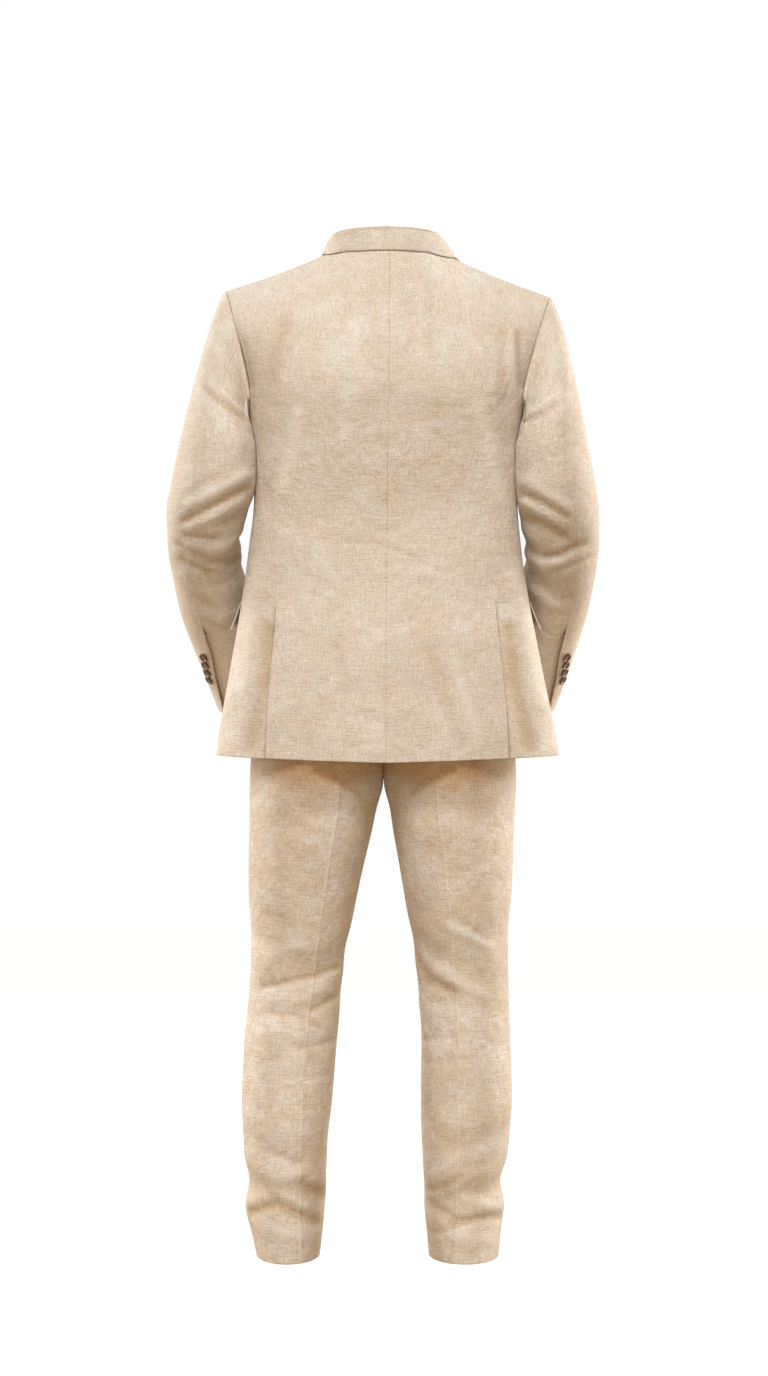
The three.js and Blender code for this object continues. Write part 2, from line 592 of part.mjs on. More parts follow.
// The right front dips under the left one along the overlap.
function underLift(side, surface, u, v) {
  if (side === 'left') return 0;
  const covered = smooth(-22, -6, frontReach(side, v));
  const x = surface(u, v).x;
  return -UNDERLAP_DEPTH * covered * smooth(-44, -25, x);
}

function jacketSide(side) {
  const surface = jacketSurface(side);
  const outward = -SIDES[side].sign;
  const shift = (u, v, distance) => u + distance * perMillimetre(surface, u, v);
  const seam = (v) => {
    if (v >= UNDERARM_V) return ARMHOLE_BACK_U;
    return lookUp(SIDE_BACK_SEAM, bodyPoint(side, 0.3, v).z, 1);
  };
  const rows = jacketRows(side);
  const base = { surface, outward, wall: JACKET_WALL, material: MATERIALS.jacket };
  panel(`jacket_back_${side}`, {
    ...base, rows: rows.all, columns: 8,
    firstU: (v) => shift(0, v, HALF_GAP), lastU: (v) => shift(seam(v), v, -HALF_GAP),
  });
  panel(`jacket_side_${side}`, {
    ...base, rows: rows.low, columns: 8,
    firstU: (v) => shift(seam(v), v, v <= rows.ventTop ? -VENT_UNDERLAP : HALF_GAP),
    lastU: (v) => shift(ARMHOLE_FRONT_U, v, -HALF_GAP),
    lift: (u, v, share) => {
      const tucked = v < rows.ventTop + VENT_BLEND_V;
      return tucked ? -UNDERLAP_DEPTH * (1 - smooth(0.25, 0.6, share)) : 0;
    },
  });
  panel(`jacket_front_${side}`, {
    ...base, rows: rows.all, columns: 9,
    firstU: (v) => shift(ARMHOLE_FRONT_U, v, HALF_GAP),
    lastU: (v) => frontEdgeU(side, surface, v),
    lift: (u, v) => underLift(side, surface, u, v),
  });
}

// A lapel, turned back from the roll line onto its front.
function lapel(side) {
  const surface = jacketSurface(side);
  const level = (v) => bodyPoint(side, 0.85, v).z;
  const cover = (v) => (side === 'right' ? frontReach(side, v) + 3 : -40);
  const lowest = side === 'left' ? LAPEL_LOW_Z : LAPEL_LOW_Z + 26;
  const first = bodyV(side, 0.85, lowest);
  const last = bodyV(side, 0.85, LAPEL_TOP_Z);
  const at = (v, x) => (x > 0 ? frontU(side, v, x) : 1 - x * perMillimetre(surface, 1, v));
  panel(`lapel_${side}`, {
    surface, outward: -SIDES[side].sign, wall: JACKET_WALL, material: MATERIALS.jacket,
    rows: evenRows(first, last, 11), columns: 4,
    firstU: (v) => at(v, lookUp(LAPEL_EDGE, level(v), 1)),
    lastU: (v) => at(v, Math.max(-frontReach(side, v), cover(v))),
    lift: (u, v, share) => LAPEL_LIFT + LAPEL_ROLL * share ** 3,
  });
}

// A pocket flap, kicked out at its lower edge.
function pocketFlap(side) {
  const surface = jacketSurface(side);
  const top = bodyV(side, 0.55, FLAP_TOP_Z);
  const bottom = bodyV(side, 0.55, FLAP_TOP_Z - FLAP_HEIGHT);
  panel(`pocket_flap_${side}`, {
    surface, outward: -SIDES[side].sign, wall: JACKET_WALL, material: MATERIALS.jacket,
    rows: evenRows(bottom, top, 3), columns: 7,
    firstU: () => FLAP_FIRST_U, lastU: () => FLAP_LAST_U,
    lift: (u, v, share) => FLAP_LIFT + FLAP_KICK * (1 - share) ** 1.5 * ((top - v) / (top - bottom)) ** 1.3,
  });
}

// Sleeves
function sleeve(side) {
  const surface = (a, s) => sleevePoint(side, a, s);
  const outward = -SIDES[side].sign;
  const shift = (a, s, distance) => a + distance * perMillimetre(surface, a, s);
  const hind = (s) => lookUp(HIND_SEAM, s, 1);
  const above = CUFF_SLIT_S - CUFF_BLEND_S;
  const rows = [...evenRows(0, SLEEVE_HEAD_S, 6), ...evenRows(SLEEVE_HEAD_S, above, 12).slice(1),
    CUFF_SLIT_S - CUFF_STEP_S, ...evenRows(CUFF_SLIT_S, 1, 5)];
  const base = { surface, outward, rows, wall: JACKET_WALL, material: MATERIALS.jacket };
  panel(`sleeve_top_${side}`, {
    ...base, columns: 10,
    firstU: (s) => shift(FORE_SEAM - 1, s, HALF_GAP), lastU: (s) => shift(hind(s), s, -HIND_GAP),
  });
  panel(`sleeve_under_${side}`, {
    ...base, columns: 8,
    firstU: (s) => shift(hind(s), s, s >= CUFF_SLIT_S ? -CUFF_UNDERLAP : HIND_GAP),
    lastU: (s) => shift(FORE_SEAM, s, -HALF_GAP),
    lift: (u, s, share) => (s > above ? -UNDERLAP_DEPTH * (1 - smooth(0.25, 0.6, share)) : 0),
  });
}

// The leaf's edge, just off the back, the shoulder ridge or the front.
function leafEdge(side, away) {
  const surface = jacketSurface(side);
  const place = lookUp(LEAF_EDGE, away, 1) * LEAF_REACH[side];
  const u = away < LEAF_RIDGE ? place : 1 - place;
  const v = lookUp(LEAF_EDGE, away, side === 'left' ? 2 : 3);
  return surface(u, v).addScaledVector(normalAt(surface, u, v, -SIDES[side].sign), LEAF_LIFT);
}

// Collar: a leaf folded over its stand, round the neck from one front to the other.
function collarPoint(c, p) {
  const side = c < 0 ? 'right' : 'left';
  const away = Math.abs(c);
  const at = (column) => new THREE.Vector3(SIDES[side].sign * lookUp(COLLAR_ROWS, away, column),
    lookUp(COLLAR_ROWS, away, column + 1), lookUp(COLLAR_ROWS, away, column + 2));
  const base = at(1);
  const fold = at(4);
  const edge = leafEdge(side, away);
  if (p <= 0.4) return base.lerp(fold, p / 0.4);
  const t = (p - 0.4) / 0.6;
  const out = edge.clone().sub(fold);
  const rise = fold.clone().sub(base).normalize();
  const first = fold.clone().addScaledVector(rise, 5);
  const second = fold.clone().addScaledVector(out, 0.45).addScaledVector(rise, 5);
  return bezier(fold, first, second, edge, t);
}

function collar() {
  const outer = [];
  const inner = [];
  const profile = [0, 0.2, 0.4, 0.46, 0.54, 0.66, 0.82, 1];
  for (const c of evenRows(-1, 1, 24)) {
    const row = profile.map((p) => collarPoint(c, p));
    const normals = profile.map((p) => normalAt(collarPoint, THREE.MathUtils.clamp(c, -0.995, 0.995),
      THREE.MathUtils.clamp(p, 0.005, 0.995), 1));
    outer.push(row);
    inner.push(row.map((point, k) => point.clone().addScaledVector(normals[k], -JACKET_WALL)));
  }
  addPiece('collar', closedWall(outer, inner), MATERIALS.jacket);
}

// Trousers
function trouserSide(side) {
  const outward = SIDES[side].sign;
  const back = (a, v) => legPoint(side, Math.min(a, 0.4999), v);
  const front = (a, v) => legPoint(side, Math.max(a, 0.5001), v);
  const round = (a, v) => legPoint(side, a < 0 ? Math.max(a + 1, 0.5001) : Math.min(a, 0.4999), v);
  const shift = (surface, a, v, distance) => a + distance * perMillimetre(surface, a, v);
  const waistSeam = solve(CROTCH_V, 1, (v) => legPoint(side, 0, v).z > WAIST_SEAM_Z);
  const waistGap = (WAIST_SEAM_GAP * (1 - CROTCH_V)) / (WAIST_TOP_Z - CROTCH_Z);
  const rows = [...evenRows(0, CROTCH_V, 15), ...evenRows(CROTCH_V, waistSeam - waistGap, 7).slice(1)];
  const base = { rows, columns: 8, outward, wall: TROUSER_WALL, material: MATERIALS.trouser };
  const legGap = (v) => (v < CROTCH_V - 0.001 ? HALF_GAP : 0);
  panel(`trouser_back_${side}`, {
    ...base, surface: back,
    firstU: (v) => shift(back, 0, v, HALF_GAP), lastU: (v) => shift(back, 0.4999, v, -legGap(v)),
  });
  panel(`trouser_front_${side}`, {
    ...base, surface: front,
    firstU: (v) => shift(front, 0.5001, v, legGap(v)), lastU: (v) => shift(front, 1, v, -HALF_GAP),
  });
  panel(`waistband_${side}`, {
    surface: round, outward, wall: TROUSER_WALL, material: MATERIALS.trouser,
    rows: [waistSeam, 1], columns: 16, firstU: () => -0.4999, lastU: () => 0.4999,
  });
  if (side === 'left') {
    const frontPlace = (v, x) => solve(0.5, 0.7, (a) => legPoint('left', a, v).x > x);
    const low = solve(CROTCH_V, 1, (v) => legPoint(side, 0.55, v).z > FLY_LOW_Z);
    panel('fly', {
      surface: front, outward, wall: TROUSER_WALL, material: MATERIALS.trouser,
      rows: evenRows(low, waistSeam - 2 * waistGap, 5), columns: 5,
      firstU: (v) => frontPlace(v, FLY_FIRST_X), lastU: (v) => frontPlace(v, FLY_LAST_X),
      lift: () => FLY_LIFT,
    });
  }
}

// A flat round button with a raised rim, seated on a place of a surface. Its outline is in
// shares of its radius and height.
function button(name, surface, u, v, outward, lift, size) {
  const { radius, height } = size;
  const outline = [[0, 0], [radius * 0.86, 0], [radius, height * 0.35], [radius, height * 0.75],
    [radius * 0.86, height], [radius * 0.68, height * 0.72], [0, height * 0.72]];
  const profile = outline.map(([x, y]) => new THREE.Vector2(x, y));
  const geometry = new THREE.LatheGeometry(profile, 12);
  const normal = normalAt(surface, u, v, outward);
  const seat = surface(u, v).addScaledVector(normal, lift);
  const turn = new THREE.Quaternion().setFromUnitVectors(new THREE.Vector3(0, 1, 0), normal);
  geometry.applyQuaternion(turn);
  geometry.translate(seat.x, seat.y, seat.z);
  addPiece(name, geometry, MATERIALS.button);
}

function buttons() {
  const front = jacketSurface('left');
  FRONT_BUTTON.levels.forEach((level, k) => {
    button(`front_button_${k + 1}`, front, 1, bodyV('left', 0.98, level), -1, SEAM_GAP, FRONT_BUTTON);
  });
  for (const side of ['left', 'right']) {
    const surface = (a, s) => sleevePoint(side, a, s);
    for (let k = 0; k < CUFF_BUTTON.count; k += 1) {
      const s = THREE.MathUtils.lerp(CUFF_BUTTON.first, CUFF_BUTTON.last, k / (CUFF_BUTTON.count - 1));
      const a = lookUp(HIND_SEAM, s, 1) - CUFF_BUTTON.inset * perMillimetre(surface, 0.1, s);
      button(`cuff_button_${side}_${k + 1}`, surface, a, s, -SIDES[side].sign, SEAM_GAP, CUFF_BUTTON);
    }
  }
  const band = (a, v) => legPoint('left', Math.max(a, 0.5001), v);
  const place = solve(0.5, 0.7, (a) => legPoint('left', a, WAIST_BUTTON.v).x > WAIST_BUTTON.x);
  button('waist_button', band, place, WAIST_BUTTON.v, 1, SEAM_GAP, WAIST_BUTTON);
}

for (const side of ['left', 'right']) {
  jacketSide(side);
  lapel(side);
  pocketFlap(side);
  sleeve(side);
  trouserSide(side);
}
collar();
buttons();

export default suit;
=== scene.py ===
# A worn two-piece suit seen from behind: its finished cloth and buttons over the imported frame.
# Lengths are millimetres until a mesh is made. +Z is up, the front faces -Y, +X is the wearer's left.
import math

import bpy
import numpy as np
from mathutils import Matrix, Vector


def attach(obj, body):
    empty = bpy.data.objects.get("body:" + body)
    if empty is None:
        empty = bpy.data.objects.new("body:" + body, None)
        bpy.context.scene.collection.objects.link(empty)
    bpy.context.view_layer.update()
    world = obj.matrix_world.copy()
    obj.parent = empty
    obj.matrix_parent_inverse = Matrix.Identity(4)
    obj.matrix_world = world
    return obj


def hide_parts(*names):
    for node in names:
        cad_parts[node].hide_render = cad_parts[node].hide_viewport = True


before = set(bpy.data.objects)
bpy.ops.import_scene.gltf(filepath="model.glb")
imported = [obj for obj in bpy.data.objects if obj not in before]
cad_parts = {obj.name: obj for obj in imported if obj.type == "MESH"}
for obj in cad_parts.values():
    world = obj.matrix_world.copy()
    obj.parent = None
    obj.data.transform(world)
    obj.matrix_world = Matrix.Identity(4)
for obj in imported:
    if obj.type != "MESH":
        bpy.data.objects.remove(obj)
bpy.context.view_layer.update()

MM = 0.001

# The photograph's frame
PHOTO_WIDTH = 768
PHOTO_HEIGHT = 1376
PHOTO_SCALE = 1.5
NECK_PIXEL = (386, 250)
CAMERA_DISTANCE = 4500
SENSOR = 36

# Cloth and seams
JACKET_WALL = 2.0
TROUSER_WALL = 1.6
ARMHOLE_GAP = 0.8
# Sewn neighbours overlap by twice this, so that no light shows between them
HALF_GAP = -0.35
# How an edge turns over: how far in, what is left of half the wall, and the rows of points there
EDGE_ROLL = 2.4
EDGE_HALF_WALL = 0.15
EDGE_STEPS = (0, 0.3, 0.8, 1.5, 2.4, 4.0)
# How dark the line along an edge is: painted shadow in the seam, with some dirt
SEAM_TONE = 0.3
ARMHOLE_TONE = 0.55
UNDERARM_TONE = 1.4
UNDERARM_FROM = (0.14, 0.34)
CENTRE_SEAM_TONE = 0.75
COLLAR_TONE = 0.36
# The grid: its step, the least distance to a kept row, and the columns beside a pressed crease
WEAVE_STEP = 3.8
ROW_CLEARANCE = 0.4
CREASE_CLEARANCE = 4.4
CREASE_STEPS = (-3.6, -2.4, -1.2, 0, 1.2, 2.4, 3.6)

# Jacket levels
HEM_BACK_Z = -766
HEM_SIDE_Z = -757
UNDERARM_Z = -225
UNDERARM_DIP = 37
UNDERARM_CURVE = 1.2
VENT_TOP_Z = -532
UNDERARM_V = 0.62

# Places round a half jacket, from the centre back (0) by the side (0.5) to the centre front (1)
NECK_U = 0.107
ARMHOLE_BACK_U = 0.413
ARMHOLE_FRONT_U = 0.587
SECTION_POWER = 2.5
NECK_EASE = 0.05
NECK_EASE_U = (0.01, 0.26)
# Where round the half jacket a level is read off
FRONT_LEVEL_U = 0.85
SIDE_LEVEL_U = 0.3
VENT_LEVEL_U = 0.25
FLAP_LEVEL_U = 0.55

# Neck and shoulders
NECK_HALF_WIDTH = 78
NECK_BACK_Y = 72
NECK_FRONT_Y = -78
NECK_FRONT_DROP = 95
NECK_Z = -2
RIDGE_Y = -2
SHOULDER_GAP = 0.2
SHOULDER_HOLLOW = 3
SIGN = {"left": 1, "right": -1}
SHOULDER_TIP = {"left": (238, -62), "right": (244, -71)}
OTHER = {"left": "right", "right": "left"}
# How a column of the body rises from the underarm, and how far before its end it rolls over: at the
# neck, at the inner shoulder and at the shoulder's tip
COLUMN_RISE = 62
COLUMN_REACH = (58, 50, 64)
# The way it comes to the neck: from the back or front, and up
NECK_ROLL = (0.42, -0.9)
NECK_ROLL_SHARE = 0.3
SHOULDER_LEAN = 2

# Columns: height, half width of the body on the wearer's left, and on the right
BODY_WIDTHS = (
    (-790, 257, 262), (-760, 254, 259), (-700, 246, 249), (-648, 237, 238), (-597, 228, 228),
    (-525, 216, 214), (-450, 206, 203), (-375, 198, 197), (-300, 200, 198), (-262, 204, 203),
    (-225, 208, 208), (-150, 218, 220),
)
# Columns: height, depth to the back, depth to the front, drift of the centre seam
BODY_DEPTHS = (
    (-790, 137, 142, 1), (-700, 132, 139, 0), (-600, 120, 134, 0), (-500, 103, 127, -1),
    (-400, 98, 124, -2), (-300, 110, 128, -3), (-225, 122, 130, -4), (-150, 128, 128, -5),
)
# Columns: height, place of the side-back seam
SIDE_BACK_SEAM = (
    (-770, 0.217), (-640, 0.235), (-532, 0.245), (-458, 0.29), (-368, 0.365), (-262, 0.408),
    (-225, 0.413),
)
# Columns: height, how far the front edge stands past the centre line, negative where it falls short
FRONT_EDGE = (
    (-790, -120), (-757, -92), (-735, -62), (-700, -36), (-640, -14), (-560, 6), (-500, 18),
    (-440, 20), (-372, 18), (-300, -6), (-200, -34), (-120, -54), (-60, -64), (-20, -70), (0, -76),
)
# Sleeve columns: height, inner x and outer x on the left, the same on the right, middle y, half depth
# on the left and on the right, then the slopes of the ring across (x) and along (y)
SLEEVE_RINGS = (
    (-300, 191, 309, 190, 302, 24, 75, 74, 0.05, 0.0),
    (-345, 191, 320, 190, 311, 19, 78, 77, 0.0, -0.05),
    (-390, 202, 329, 194, 319, 4, 75, 74, -0.05, -0.2),
    (-435, 215, 329, 204, 321, -24, 69, 69, -0.1, -0.35),
    (-480, 216, 323, 209, 317, -60, 62, 62, -0.16, -0.5),
    (-525, 207, 315, 206, 309, -97, 57, 57, -0.2, -0.6),
    (-570, 194, 300, 194, 297, -133, 54, 54, -0.22, -0.64),
    (-615, 182, 284, 182, 284, -161, 51, 51, -0.22, -0.64),
    (-640, 175, 275, 175, 276, -177, 49, 49, -0.22, -0.64),
    (-669, 167, 265, 167, 266, -195, 48, 48, -0.22, -0.64),
)
SLEEVE_HEAD_S = 0.34
SLEEVE_TOP_Z = -300
SLEEVE_END_Z = -669
ARMHOLE_MIDDLE = (240, 5)
# The sleeve's head at the underarm and at the shoulder: its swell from the armhole, its lean outward,
# and how far it runs up from the sleeve
HEAD_SWELL = (10, 13)
HEAD_LEAN = (8, 1)
HEAD_RUN = (34, 104)
# Where down the head its folds start and are full, and the same for its push off the body
HEAD_FOLDS_T = (0, 0.4)
HEAD_CONTACT_T = (0.05, 0.4)
# Columns: place down the sleeve, hind-arm seam round it
HIND_SEAM = (
    (0, 0.235), (0.34, 0.235), (0.5, 0.195), (0.65, 0.195), (0.8, 0.19), (0.9, 0.157), (1, 0.122),
)
FORE_SEAM = 0.69
CONTACT_GAP = 0.8
CONTACT_SOFTNESS = 3
CONTACT_Z = (-262, -228)
CUFF_SLIT_S = 0.775
CUFF_STEP_S = 0.015
CUFF_BLEND_S = 0.04

# Trousers
CROTCH_Z = -793
WAIST_TOP_Z = -538
WAIST_SEAM_Z = -575
WAIST_SEAM_GAP = 0.48
TROUSER_HEM_Z = -1506
CROTCH_V = 0.74
BELOW_CROTCH_V = CROTCH_V - 0.0012
CROTCH_STEP_V = 0.002
CROTCH_BLEND_V = 0.06
SEAT_SEAM_DEPTH = 0.96
SEAT_SEAM_CURVE = 2.6
SEAT_SEAM_FULL = 0.5
SEAT_SEAM_POWER = 0.7
CREASE_SHIFT = 0.08
LEG_RADIUS = 90
LEG_FOLDS_END = (0.3, 0.7)
# Round a leg, from the inside seam at the back; the side seam is at 0.5
LEG_BACK_A = 0.4999
LEG_FRONT_A = 0.5001
LEG_PANEL_SIZE = (230, 930)
# Columns: height, outer x, inner x on the left, outer x, inner x on the right, back y, front y
LEG_ROWS = (
    (-1506, 194, 99, -169, -64, 84, -82), (-1470, 202, 95, -172, -61, 82, -80),
    (-1430, 211, 91, -177, -57, 79, -78), (-1395, 207, 88, -174, -56, 79, -77),
    (-1350, 213, 88, -183, -54, 78, -76), (-1268, 216, 80, -189, -52, 75, -75),
    (-1180, 212, 73, -186, -53, 71, -76), (-1110, 205, 66, -184, -47, 70, -80),
    (-1042, 202, 57, -183, -39, 78, -84), (-952, 206, 40, -189, -25, 89, -92),
    (-862, 205, 19, -192, -9, 103, -105), (-793, 204, 3.75, -195, 3.45, 116, -113),
    (-730, 200, 3.75, -192, 3.45, 126, -112), (-690, 192, 3.75, -186, 3.45, 117, -109),
    (-630, 176, 3.75, -172, 3.45, 108, -102), (-575, 164, 3.75, -160, 3.45, 99, -95),
    (-538, 160, 3.75, -156, 3.45, 95, -92),
)

# The largest folds, pressed in from one place to another.
# Columns: place round and place along at the start, the same at the end, depth, half width
SLEEVE_FOLDS = {
    "left": (
        (0.2, 0.21, 0.4, 0.27, 5, 20), (0.52, 0.5, 0.2, 0.55, 5, 18),
        (0.54, 0.585, 0.16, 0.6, 9, 17), (0.52, 0.66, 0.2, 0.645, 6, 16),
        (0.46, 0.73, 0.2, 0.7, 4, 18), (0.56, 0.55, 0.86, 0.52, 8, 19),
        (0.6, 0.62, 0.9, 0.61, 7, 17), (0.62, 0.7, 0.84, 0.69, 4, 18),
        (0.92, 0.24, 0.72, 0.31, 5, 20),
    ),
    "right": (
        (0.2, 0.22, 0.42, 0.27, 6, 20), (0.5, 0.52, 0.22, 0.53, 5, 18),
        (0.55, 0.6, 0.17, 0.57, 8, 17), (0.5, 0.65, 0.18, 0.67, 7, 16),
        (0.46, 0.75, 0.22, 0.71, 4, 18), (0.57, 0.54, 0.88, 0.53, 8, 19),
        (0.6, 0.63, 0.86, 0.6, 7, 17), (0.64, 0.71, 0.86, 0.69, 4, 18),
        (0.9, 0.25, 0.74, 0.31, 5, 20),
    ),
}
LEG_FOLDS = {
    "left": (
        (0.47, 0.475, 0.18, 0.425, 7, 24), (0.46, 0.41, 0.12, 0.375, 6, 22),
        (0.08, 0.5, 0.24, 0.46, 4, 22), (0.1, 0.185, 0.4, 0.145, 5, 22),
        (0.05, 0.12, 0.42, 0.085, 7, 20), (0.4, 0.7, 0.2, 0.68, 5, 26),
        (0.55, 0.12, 0.9, 0.1, 7, 22), (0.56, 0.46, 0.8, 0.5, 4, 28),
        (0.55, 0.72, 0.85, 0.76, 6, 26),
    ),
    "right": (
        (0.46, 0.49, 0.2, 0.44, 7, 24), (0.47, 0.42, 0.14, 0.39, 6, 22),
        (0.07, 0.51, 0.22, 0.48, 4, 22), (0.08, 0.2, 0.42, 0.16, 5, 22),
        (0.04, 0.115, 0.4, 0.09, 7, 20), (0.42, 0.71, 0.18, 0.69, 5, 26),
        (0.57, 0.11, 0.92, 0.115, 7, 22), (0.55, 0.47, 0.82, 0.49, 4, 28),
        (0.56, 0.71, 0.86, 0.75, 6, 26),
    ),
}
# The cloth round and along, whose shares the places in these tables are
SLEEVE_SPAN = (400, 660)
LEG_SPAN = (480, 960)
BODY_SPAN = (560, 860)
# A fold's loss of depth toward its ends, and its reach past them in half widths
FOLD_FADE = 0.4
FOLD_TAIL = 1.5
# The crease pressed down the back of each leg: height, x
PRESSED_CREASE = {
    "left": ((-1506, 125), (-1425, 127), (-1300, 125), (-1209, 121), (-1050, 103), (-940, 88),
             (-805, 70), (-600, 70)),
    "right": ((-1506, -100), (-1430, -104), (-1300, -107), (-1209, -108), (-1050, -99), (-940, -89),
              (-805, -75), (-600, -74)),
}
PRESSED_HEIGHT = 1.3
PRESSED_TOP_V = 0.725
PRESSED_REACH = 1.8
# Lift of the pressed crease from which it gets its painted highlight
CREASE_HIGHLIGHT_FROM = 0.5

# Laps: how far one edge passes under the next, and how deep it lies there
VENT_UNDERLAP = 26
VENT_STEP_V = 0.012
VENT_BLEND_V = 0.03
# How far the painted shade beside a vent's or slit's edge reaches
VENT_SHADE_REACH = 3
CUFF_UNDERLAP = 14
UNDERLAP_DEPTH = 4.2
UNDERLAP_SHARES = (0.25, 0.6)
# Where the right front starts to dip under the left one: its reach, then x
OVERLAP_REACH = (-22, -6)
OVERLAP_X = (-44, -25)

# Trousers under the jacket's skirt: the hem's shadow painted below the hem, and the seat held in above
# it.
# A is the place round the leg.
HEM_SHADE_Z = -777
HEM_SHADE_DEPTH = (22, 58)
HEM_SHADE_DEEP_A = (0.1, 0.24)
HEM_SHADE_SHALLOW_A = (0.28, 0.42)
HEM_SHADE_STRONG_A = (0.08, 0.22)
HEM_SHADE_FRONT_A = (0.82, 0.99)
HEM_SHADE_AT_SIDE = 0.5
UNDER_SKIRT_DEPTH = 2.0
UNDER_SKIRT_Z = (-768, -752, -690, -650)
UNDER_SKIRT_A = (0.03, 0.14)

# Pieces that lie on a panel
LAPEL_LIFT = 3.2
LAPEL_ROLL = 3
LAPEL_LOW_Z = {"left": -378, "right": -352}
LAPEL_COVER = 3
LAPEL_TOP_Z = -92
# Columns: height, distance of the lapel's edge from the centre line
LAPEL_EDGE = (
    (-385, -20), (-372, -6), (-340, 29), (-290, 60), (-230, 85), (-170, 104), (-120, 117), (-80, 117),
)
FLAP_LIFT = 2.8
FLAP_TOP_Z = -522
FLAP_HEIGHT = 43
FLAP_KICK = 8
FLAP_FIRST_U = 0.5
FLAP_LAST_U = 0.655
FLY_LIFT = 2.6
FLY_FIRST_X = 7
FLY_LAST_X = 38
FLY_LOW_Z = -705
# Columns: place from the centre back (0) to the front end (1), then x, y, z of the stand's foot
# and of the fold
COLLAR_ROWS = (
    (0, 0, 70, -0.5, 0, 73, 24), (0.25, 40, 59, -0.5, 43, 62, 23), (0.5, 68, 30, -0.5, 73, 32, 21),
    (0.68, 77, -4, -1, 83, -5, 13), (0.84, 76, -46, -24, 83, -50, -8), (1, 64, -84, -72, 71, -90, -60),
)
# The leaf's edge lies on the jacket. Columns: place round the collar, place round the half jacket,
# place up the jacket on the left and on the right
LEAF_EDGE = (
    (0, 0, 0.9775, 0.9775), (0.25, 0.027, 0.9785, 0.9775), (0.42, 0.052, 0.9775, 0.974),
    (0.52, 0.088, 0.969, 0.958), (0.6, 0.124, 0.966, 0.954), (0.68, 0.15, 1, 1),
    (0.76, 0.163, 0.959, 0.959), (0.84, 0.167, 0.9075, 0.9075), (0.92, 0.158, 0.862, 0.862),
    (1, 0.139, 0.826, 0.826),
)
COLLAR_SIZE = (560, 95)
COLLAR_STEP = 2.4
STAND_SHARE = 0.4
FOLD_RISE = 5
LEAF_BEND = 0.45
LEAF_RIDGE = 0.68
LEAF_LIFT = 2.6
LEAF_REACH = {"left": 0.93, "right": 1.05}

# Buttons: radius and height
FRONT_BUTTON = (10.5, 3.4)
CUFF_BUTTON = (7.4, 3.0)
WAIST_BUTTON = (8, 3.0)
FRONT_BUTTON_U = 0.98
FRONT_BUTTON_LEVELS = (-395, -492)
CUFF_BUTTONS = 4
CUFF_BUTTON_S = (0.834, 0.903)
CUFF_BUTTON_INSET = 15
WAIST_BUTTON_X = 18
WAIST_BUTTON_V = 0.981
BUTTON_GAP = 0.3
# Shares of a button's radius and of its height: each step of the dish
DISH_STEPS = ((0.2, 0), (0.1, -0.22), (0.12, -0.06))
# Shares of its radius
HOLE_PLACE = 0.17
HOLE_RADIUS = 0.085
# Shares of its height
RIM_BEVEL = 0.16
THREAD_LEVEL = 0.72
# Share of a hole's distance from the middle
THREAD_RADIUS = 0.34

# Colours of the linen. The seam tone is painted shadow in the seams, with some dirt; the shade tone is
# painted shade in vents, beside cuff slits and under the jacket's hem
SEAM_SHADOW = (0.3, 0.19, 0.11)
JACKET_TONES = {
    "light": (0.71, 0.665, 0.61), "dark": (0.6, 0.53, 0.45), "warm": (0.64, 0.53, 0.415),
    "grey": (0.57, 0.54, 0.47), "seam": SEAM_SHADOW, "shade": (0.5, 0.4, 0.3),
}
TROUSER_TONES = {
    "light": (0.79, 0.74, 0.68), "dark": (0.6, 0.515, 0.41), "warm": (0.66, 0.53, 0.4),
    "grey": (0.66, 0.635, 0.59), "seam": SEAM_SHADOW, "shade": (0.66, 0.46, 0.26),
}
SLUB_TONE = (0.76, 0.7, 0.62)
PALE_THREAD = (0.86, 0.79, 0.69)
# Painted highlight along the pressed crease
PRESSED_CREASE_HIGHLIGHT = (0.88, 0.82, 0.73)
# Painted shade in the troughs of folds, and a painted highlight on their ridges
TROUGH_PAINTED_SHADE = (0.82, 0.73, 0.62)
RIDGE_PAINTED_HIGHLIGHT = (0.8, 0.74, 0.66)
# Patches from pale to dark: scale, then where the noise is cut
CLOUDS = (9.0, 0.38, 0.62)
# Columns: scale, where the noise is cut (low and high), strength, tone
PATCHES = (
    (26.0, 0.42, 0.64, 0.7, "warm"), (17.0, 0.48, 0.68, 0.6, "grey"),
    (62.0, 0.46, 0.66, 0.6, "warm"), (140.0, 0.5, 0.64, 0.4, "dark"),
)
# Scale, where the noise is cut, and the least and greatest brightness
FLECKS = (420.0, 0.3, 0.7, 0.76, 1.2)

# The studio
FLOOR_Z = -1602
WARM_WHITE = (1, 0.98, 0.95)
# Columns: name, size, power, place, where it points, colour; in metres
LIGHTS = (
    ("backdrop", (5.0, 4.0), 130, (0, -3.4, -0.5), (0, 0, -0.7), WARM_WHITE),
    ("rim left", (0.6, 2.6), 60, (2.1, -0.9, -0.4), (0, 0, -0.7), WARM_WHITE),
    ("rim right", (0.6, 2.6), 70, (-2.1, -0.9, -0.4), (0, 0, -0.7), WARM_WHITE),
    ("key", (3.0, 2.0), 368, (0.3, 4.0, 4.2), (0, 0, -0.7), (0.97, 0.985, 1)),
    ("fill", (3.6, 1.2), 58, (0, 4.6, -0.6), (0, 0, -0.9), (1, 0.93, 0.83)),
)


def smooth(low, high, value):
    t = np.clip((value - low) / (high - low), 0, 1)
    return t * t * (3 - 2 * t)


def mix(a, b, t):
    return a + (b - a) * t


